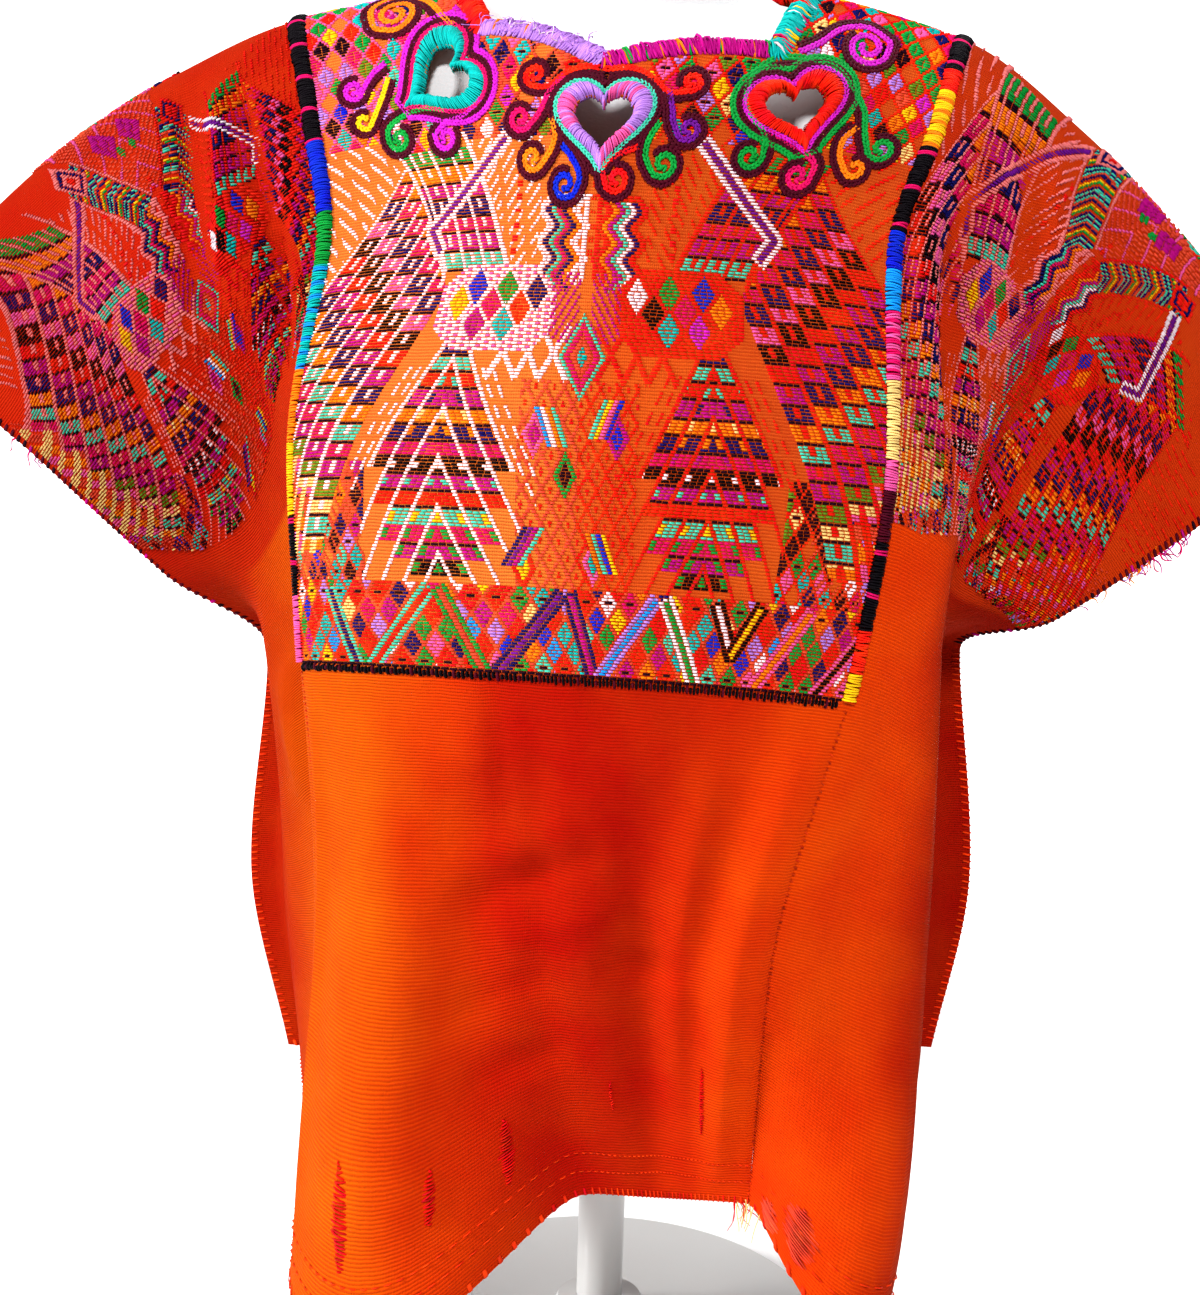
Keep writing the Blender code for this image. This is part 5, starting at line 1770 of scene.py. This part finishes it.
# %% Yoke foot and plain seams
def flat_bars(name, starts, ends, width, thickness, names, spread=0.1, segments=3):
    """Bars that lie on the cloth from flat place to flat place, in one piece."""
    starts, ends = np.asarray(starts, float), np.asarray(ends, float)
    profile = ((0, 0.2, 0.8, 1), (-0.0008, 0.0001, 0.0001, -0.0008))
    prototype = soft_bar(segments)
    points = bars_between(starts, ends, np.full(len(starts), width), profile, thickness, prototype)
    colours = colours_of(names, np.random.default_rng(len(starts)), spread)
    return joined_mesh(name, points, prototype[1], colours, stitch_thread)


def whipped_foot(name, front):
    lively = np.random.default_rng(3)
    s = np.arange(-CENTRE_HALF + 0.006, CENTRE_HALF - 0.006, 0.0021)
    t = (0.3466 if front else -0.3466) + lively.normal(0, 0.0002, len(s))
    reach = np.where(np.arange(len(s)) % 2 == 0, 0.0019, 0.0013) * lively.uniform(0.85, 1.15, len(s))
    names = ["maroon" if k % 5 == 3 else "black" for k in range(len(s))]
    starts, ends = np.column_stack((s - 0.0002, t - reach)), np.column_stack((s + 0.0002, t + reach))
    flat_bars(name, starts, ends, 0.0017, 0.0013, names)


whipped_foot("front_yoke_edge", True)
whipped_foot("back_yoke_edge", False)
down = np.arange(0.3490, LENGTH - 0.002, 0.0034)
middles = [(side * CENTRE_HALF, sign * t) for side in (-1, 1) for sign in (-1, 1) for t in down]
middles = np.array(middles)
flat_bars(
    "seam_stitches", middles - (0.0013, 0), middles + (0.0013, 0.0012), 0.0007, 0.0006,
    ["rust"] * len(middles), 0.15, 2,
)

# %% [markdown]
# The hem, the sleeve openings and the side seams are whipped over the edge.  A bar here runs along a
# path of two numbers, how far it is inside the edge and how high it is, so it can pass round the edge
# to the other face.

# %% Whipped edges
def whip(name, lines, width, thickness, names):
    """Whipping over edges, each a line of places, the way in from it and the way along it."""
    edges, inward, run = [np.concatenate(column) for column in zip(*lines)]
    points, faces = soft_bar(5)
    inset, height = bent_path(points, thickness, *OVER, 1)
    along = points[:, 1] * width + (points[:, 0] - 0.5) * width
    flat = edges[:, None] + inward[:, None] * np.maximum(inset, 0)[None, :, None]
    flat = flat + run[:, None] * along[None, :, None]
    worn = on_cloth(flat[..., 0], flat[..., 1], np.broadcast_to(height, flat.shape[:2]))
    outward = on_cloth(*edges.T, 0) - on_cloth(*(edges + 0.002 * inward).T, 0)
    outward /= np.linalg.norm(outward, axis=1, keepdims=True)
    worn = worn + outward[:, None] * np.maximum(-inset, 0)[None, :, None]
    colours = colours_of(names, np.random.default_rng(len(edges)), 0.14)
    return joined_mesh(name, worn, faces, colours, stitch_thread)


def edge_line(s, t, way_in, way_along):
    s, t = np.broadcast_arrays(s, t)
    return np.column_stack((s, t)), np.tile(way_in, (len(s), 1)), np.tile(way_along, (len(s), 1))


# round the edge: from the face, over it, and back on the underside
OVER = (
    ((0, 0.42, 0.5, 0.6, 1), (0.0036, -0.0001, -0.0003, -0.0001, 0.0026)),
    ((0, 0.1, 0.42, 0.6, 1), (-0.0006, 0.0, 0.0, -0.0018, -0.0022)),
)
lively = np.random.default_rng(8)
s = np.arange(-OUTER + 0.004, OUTER - 0.003, 0.0052)
hems = [edge_line(s, sign * LENGTH, (0.0, -sign), (1.0, 0.0)) for sign in (-1, 1)]
names = ["mend" if lively.random() < 0.35 else "self" for _ in range(2 * len(s))]
whip("hem_whipping", hems, 0.0016, 0.0005, names)

t = np.arange(-0.314, 0.315, 0.0046)
cuffs = [edge_line(side * OUTER, t, (-side, 0.0), (0.0, 1.0)) for side in (-1, 1)]
names = [("maroon", "plum", "magenta")[int(lively.random() ** 2 * 3)] for _ in range(2 * len(t))]
whip("sleeve_edge_whipping", cuffs, 0.0022, 0.0006, names)

# %% Side seams
SEAM_BAR = soft_bar(6)
x = SEAM_BAR[0][:, 0]
inset = np.interp(x, (0, 0.36, 0.5, 0.64, 1), (0.0034, 0.0002, 0.0, 0.0002, 0.0034))
bulge = np.interp(x, (0, 0.36, 0.5, 0.64, 1), (0, 0.0001, 0.0002, 0.0001, 0))
to_back = np.interp(x, (0.36, 0.64), (0, 1))
worn = []
for side in (-1, 1):
    t = np.arange(ARMHOLE + 0.004, LENGTH - 0.003, 0.0048)
    flat_s = side * (OUTER - inset)[None, :] + np.zeros((len(t), 1))
    flat_t = t[:, None] + (SEAM_BAR[0][:, 1] * 0.0014 + x * 0.0020)[None, :]
    high = (-0.0004 + SEAM_BAR[0][:, 2] * 0.0006)[None, :] + np.zeros((len(t), 1))
    front_face, back_face = on_cloth(flat_s, flat_t, high), on_cloth(flat_s, -flat_t, high)
    mixture = front_face * (1 - to_back)[None, :, None] + back_face * to_back[None, :, None]
    mixture[..., 0] += side * (bulge + SEAM_BAR[0][:, 2] * 0.0003 * (bulge > 0.0001))[None, :]
    worn.append(mixture)
worn = np.concatenate(worn)
joined_mesh(
    "side_seam_stitches", worn, SEAM_BAR[1], colours_of(["self"] * len(worn), np.random.default_rng(2), 0.15),
    stitch_thread,
)

# %% [markdown]
# Two rows of running stitch hold the turned hem, and old snags above it are mended with little
# spindle-shaped darns of red thread.

# %% Hem rows and darns
starts, ends = [], []
for sign in (-1, 1):
    for row, t_at in enumerate((0.5872, 0.5966)):
        s = np.arange(-OUTER + 0.006, OUTER - 0.008, 0.0049) + row * 0.0017
        sway_from, sway_to = [0.0008 * np.sin(place * 41 + row) for place in (s, s + 0.003)]
        starts.append(np.column_stack((s, sign * (t_at + sway_from))))
        ends.append(np.column_stack((s + 0.0031, sign * (t_at + sway_to))))
starts, ends = np.concatenate(starts), np.concatenate(ends)
flat_bars("hem_stitches", starts, ends, 0.0007, 0.0005, ["self"] * len(starts), 0.12, 2)

Darn = namedtuple("Darn", "s t half_width half_height thread")
DARNS = [Darn(*row) for row in (
    (-0.110, 0.566, 0.0034, 0.0180, "mend"), (-0.0727, 0.564, 0.0020, 0.0100, "mend"),
    (-0.043, 0.566, 0.0024, 0.0140, "mend"), (0.018, 0.555, 0.0012, 0.0080, "mend"),
    (0.119, 0.552, 0.0018, 0.0185, "mend"), (0.186, 0.590, 0.0048, 0.0120, "salmon"),
    (0.176, 0.601, 0.0030, 0.0070, "salmon"), (-0.060, -0.560, 0.0024, 0.0130, "mend"),
    (0.096, -0.548, 0.0020, 0.0100, "mend"),
)]
lively = np.random.default_rng(21)
starts, ends, names = [], [], []
for darn in DARNS:
    for place in np.arange(-darn.half_height, darn.half_height, 0.00135):
        spindle = (1 - (place / darn.half_height) ** 2) ** 0.8
        half = darn.half_width * spindle * lively.uniform(0.75, 1.2) + 0.0006
        lean = lively.normal(0, 0.0004)
        off = lively.normal(0, 0.0003)
        starts.append((darn.s - half + off, darn.t + place - lean))
        ends.append((darn.s + half + off, darn.t + place + lean))
        names.append(darn.thread)
flat_bars("darned_snags", starts, ends, 0.0008, 0.0006, names, 0.16, 3)


# %% [markdown]
# Ends of thread work loose where the blouse rubs: at the lilac part of the neck, at one corner of the
# hem and at the sleeve's edge.  Each is the same bar again, stretched thin and bent into a lazy curl.

# %% Loose ends
STRAND = soft_bar(8)


def strands(name, places, ways, lengths, curls, names, radius, slot="bound_edge"):
    """Thin curling ends: a start, a way, a length and a curl for each."""
    lively = np.random.default_rng(4)
    count = len(places)
    ways = ways / np.linalg.norm(ways, axis=1, keepdims=True)
    first = np.cross(ways, lively.normal(size=(count, 3)))
    first /= np.linalg.norm(first, axis=1, keepdims=True)
    second = np.cross(ways, first)
    x = STRAND[0][:, 0][None, :]
    turn = lively.uniform(2.0, 5.5, (count, 1)) * x + lively.uniform(0, 6.28, (count, 1))
    swing = curls[:, None] * x**0.8
    path = places[:, None] + ways[:, None] * (lengths[:, None] * x)[..., None]
    path = path + first[:, None] * (swing * (np.cos(turn) - np.cos(turn[:, :1])))[..., None]
    path = path + second[:, None] * (swing * (np.sin(turn) - np.sin(turn[:, :1])))[..., None]
    thin = radius * (1 - 0.4 * x)
    points = path + first[:, None] * (STRAND[0][None, :, 1] * 2 * thin)[..., None]
    points = points + second[:, None] * ((STRAND[0][None, :, 2] - 0.5) * 2 * thin)[..., None]
    return joined_mesh(name, points, STRAND[1], colours_of(names, lively, 0.12), stitch_thread)


NECK_ENDS, HEM_ENDS, SLEEVE_ENDS = 44, 18, (30, 16, 12)  # the sleeves': left in two bunches, right
lively = np.random.default_rng(15)
s = lively.uniform(-0.071, -0.004, NECK_ENDS)
from_end = np.abs(flat_neck[:, 0][None, :] - s[:, None]) + np.where(flat_neck[:, 1] > 0.02, 0, 9)[None, :]
places = over_neck[from_end.argmin(axis=1)] + lively.normal(0, 0.0012, (NECK_ENDS, 3))
ways = [lively.normal(0, 0.8, NECK_ENDS), lively.normal(-0.3, 0.5, NECK_ENDS)]
ways.append(lively.uniform(0.1, 1.2, NECK_ENDS))
lengths, curls = lively.uniform(0.003, 0.010, NECK_ENDS), lively.uniform(0.001, 0.0034, NECK_ENDS)
names = ["lavender" if k % 4 else "white" for k in range(NECK_ENDS)]
strands("loose_neck_threads", places, np.column_stack(ways), lengths, curls, names, 0.00030)

s, t = lively.uniform(0.152, 0.174, HEM_ENDS), lively.uniform(0.6075, 0.6095, HEM_ENDS)
ways = [lively.normal(0, 0.35, HEM_ENDS), lively.normal(0, 0.3, HEM_ENDS), np.full(HEM_ENDS, -1.0)]
places = on_cloth(s, t, -0.0005)
lengths, curls = lively.uniform(0.006, 0.016, HEM_ENDS), lively.uniform(0.0005, 0.002, HEM_ENDS)
names = ["cream" if k % 3 else "scarlet" for k in range(HEM_ENDS)]
strands("loose_hem_threads", places, np.column_stack(ways), lengths, curls, names, 0.00026, "orange_cotton")

bunch, spread, right = SLEEVE_ENDS
s = np.r_[np.full(bunch + spread, 0.3795), np.full(right, -0.3795)]
t = [lively.normal(0.168, 0.011, bunch), lively.uniform(0.11, 0.24, spread), lively.uniform(0.05, 0.16, right)]
t = np.concatenate(t)
out = on_cloth(s, t, 0) - on_cloth(s * 0.99, t, 0)
ways = out / np.linalg.norm(out, axis=1, keepdims=True) * 0.7 + lively.normal(0, 0.5, (len(s), 3))
places = on_cloth(s, t, -0.0005)
lengths, curls = lively.uniform(0.003, 0.008, len(s)), lively.uniform(0.001, 0.0032, len(s))
kinds = ("magenta", "hotpink", "orchid", "orange", "lavender", "salmon")
names = [kinds[int(lively.random() ** 1.5 * 6)] for _ in s]
strands("loose_sleeve_threads", places, ways, lengths, curls, names, 0.00042)

# %% [markdown]

# %% [markdown]
# The main lamp shines from the camera's side, so that the shadow on the floor falls behind the blouse.
# A second one, low at the wearer's right, rakes across the cloth and lets its folds make their own deep
# shadows.  The world is white where the camera sees it and dim where it lights the cloth.

# %% Floor and light
bm = bmesh.new()
bmesh.ops.create_circle(bm, cap_ends=True, segments=128, radius=70.0)
floor_mesh = bpy.data.meshes.new("studio_floor")
bm.to_mesh(floor_mesh)
bm.free()
floor = placed("studio_floor", floor_mesh)
pale, tree, shader = new_material("pale floor", 0.9)
shader.inputs["Base Color"].default_value = (0.90, 0.90, 0.90, 1.0)
floor_mesh.materials.append(pale)


def soft_sun(name, direction, strength, spread):
    data = bpy.data.lights.new(name, "SUN")
    data.energy = strength
    data.angle = spread
    lamp = placed(name, data)
    lamp.matrix_world = Vector(direction).to_track_quat("-Z", "Y").to_matrix().to_4x4()


soft_sun("main_light", (-0.085, 0.66, -0.74), 3.3, 0.20)
soft_sun("side_light", (0.86, 0.34, -0.40), 3.8, 0.30)
soft_sun("back_light", (-0.3, -0.8, -0.9), 1.9, 0.8)

DIM = 0.15  # how brightly the white world lights the cloth
world = bpy.data.worlds.new("studio")
world.use_nodes = True
tree = world.node_tree
background = tree.nodes["Background"]
background.inputs["Color"].default_value = (1.0, 1.0, 1.0, 1.0)
rays = add(tree, "ShaderNodeLightPath")
strength = maths(tree, "ADD", maths(tree, "MULTIPLY", rays.outputs["Is Camera Ray"], 1 - DIM), DIM)
tree.links.new(strength, background.inputs["Strength"])
bpy.context.scene.world = world
bpy.context.scene.view_settings.view_transform = "Standard"
bpy.context.scene.view_settings.look = "Medium High Contrast"
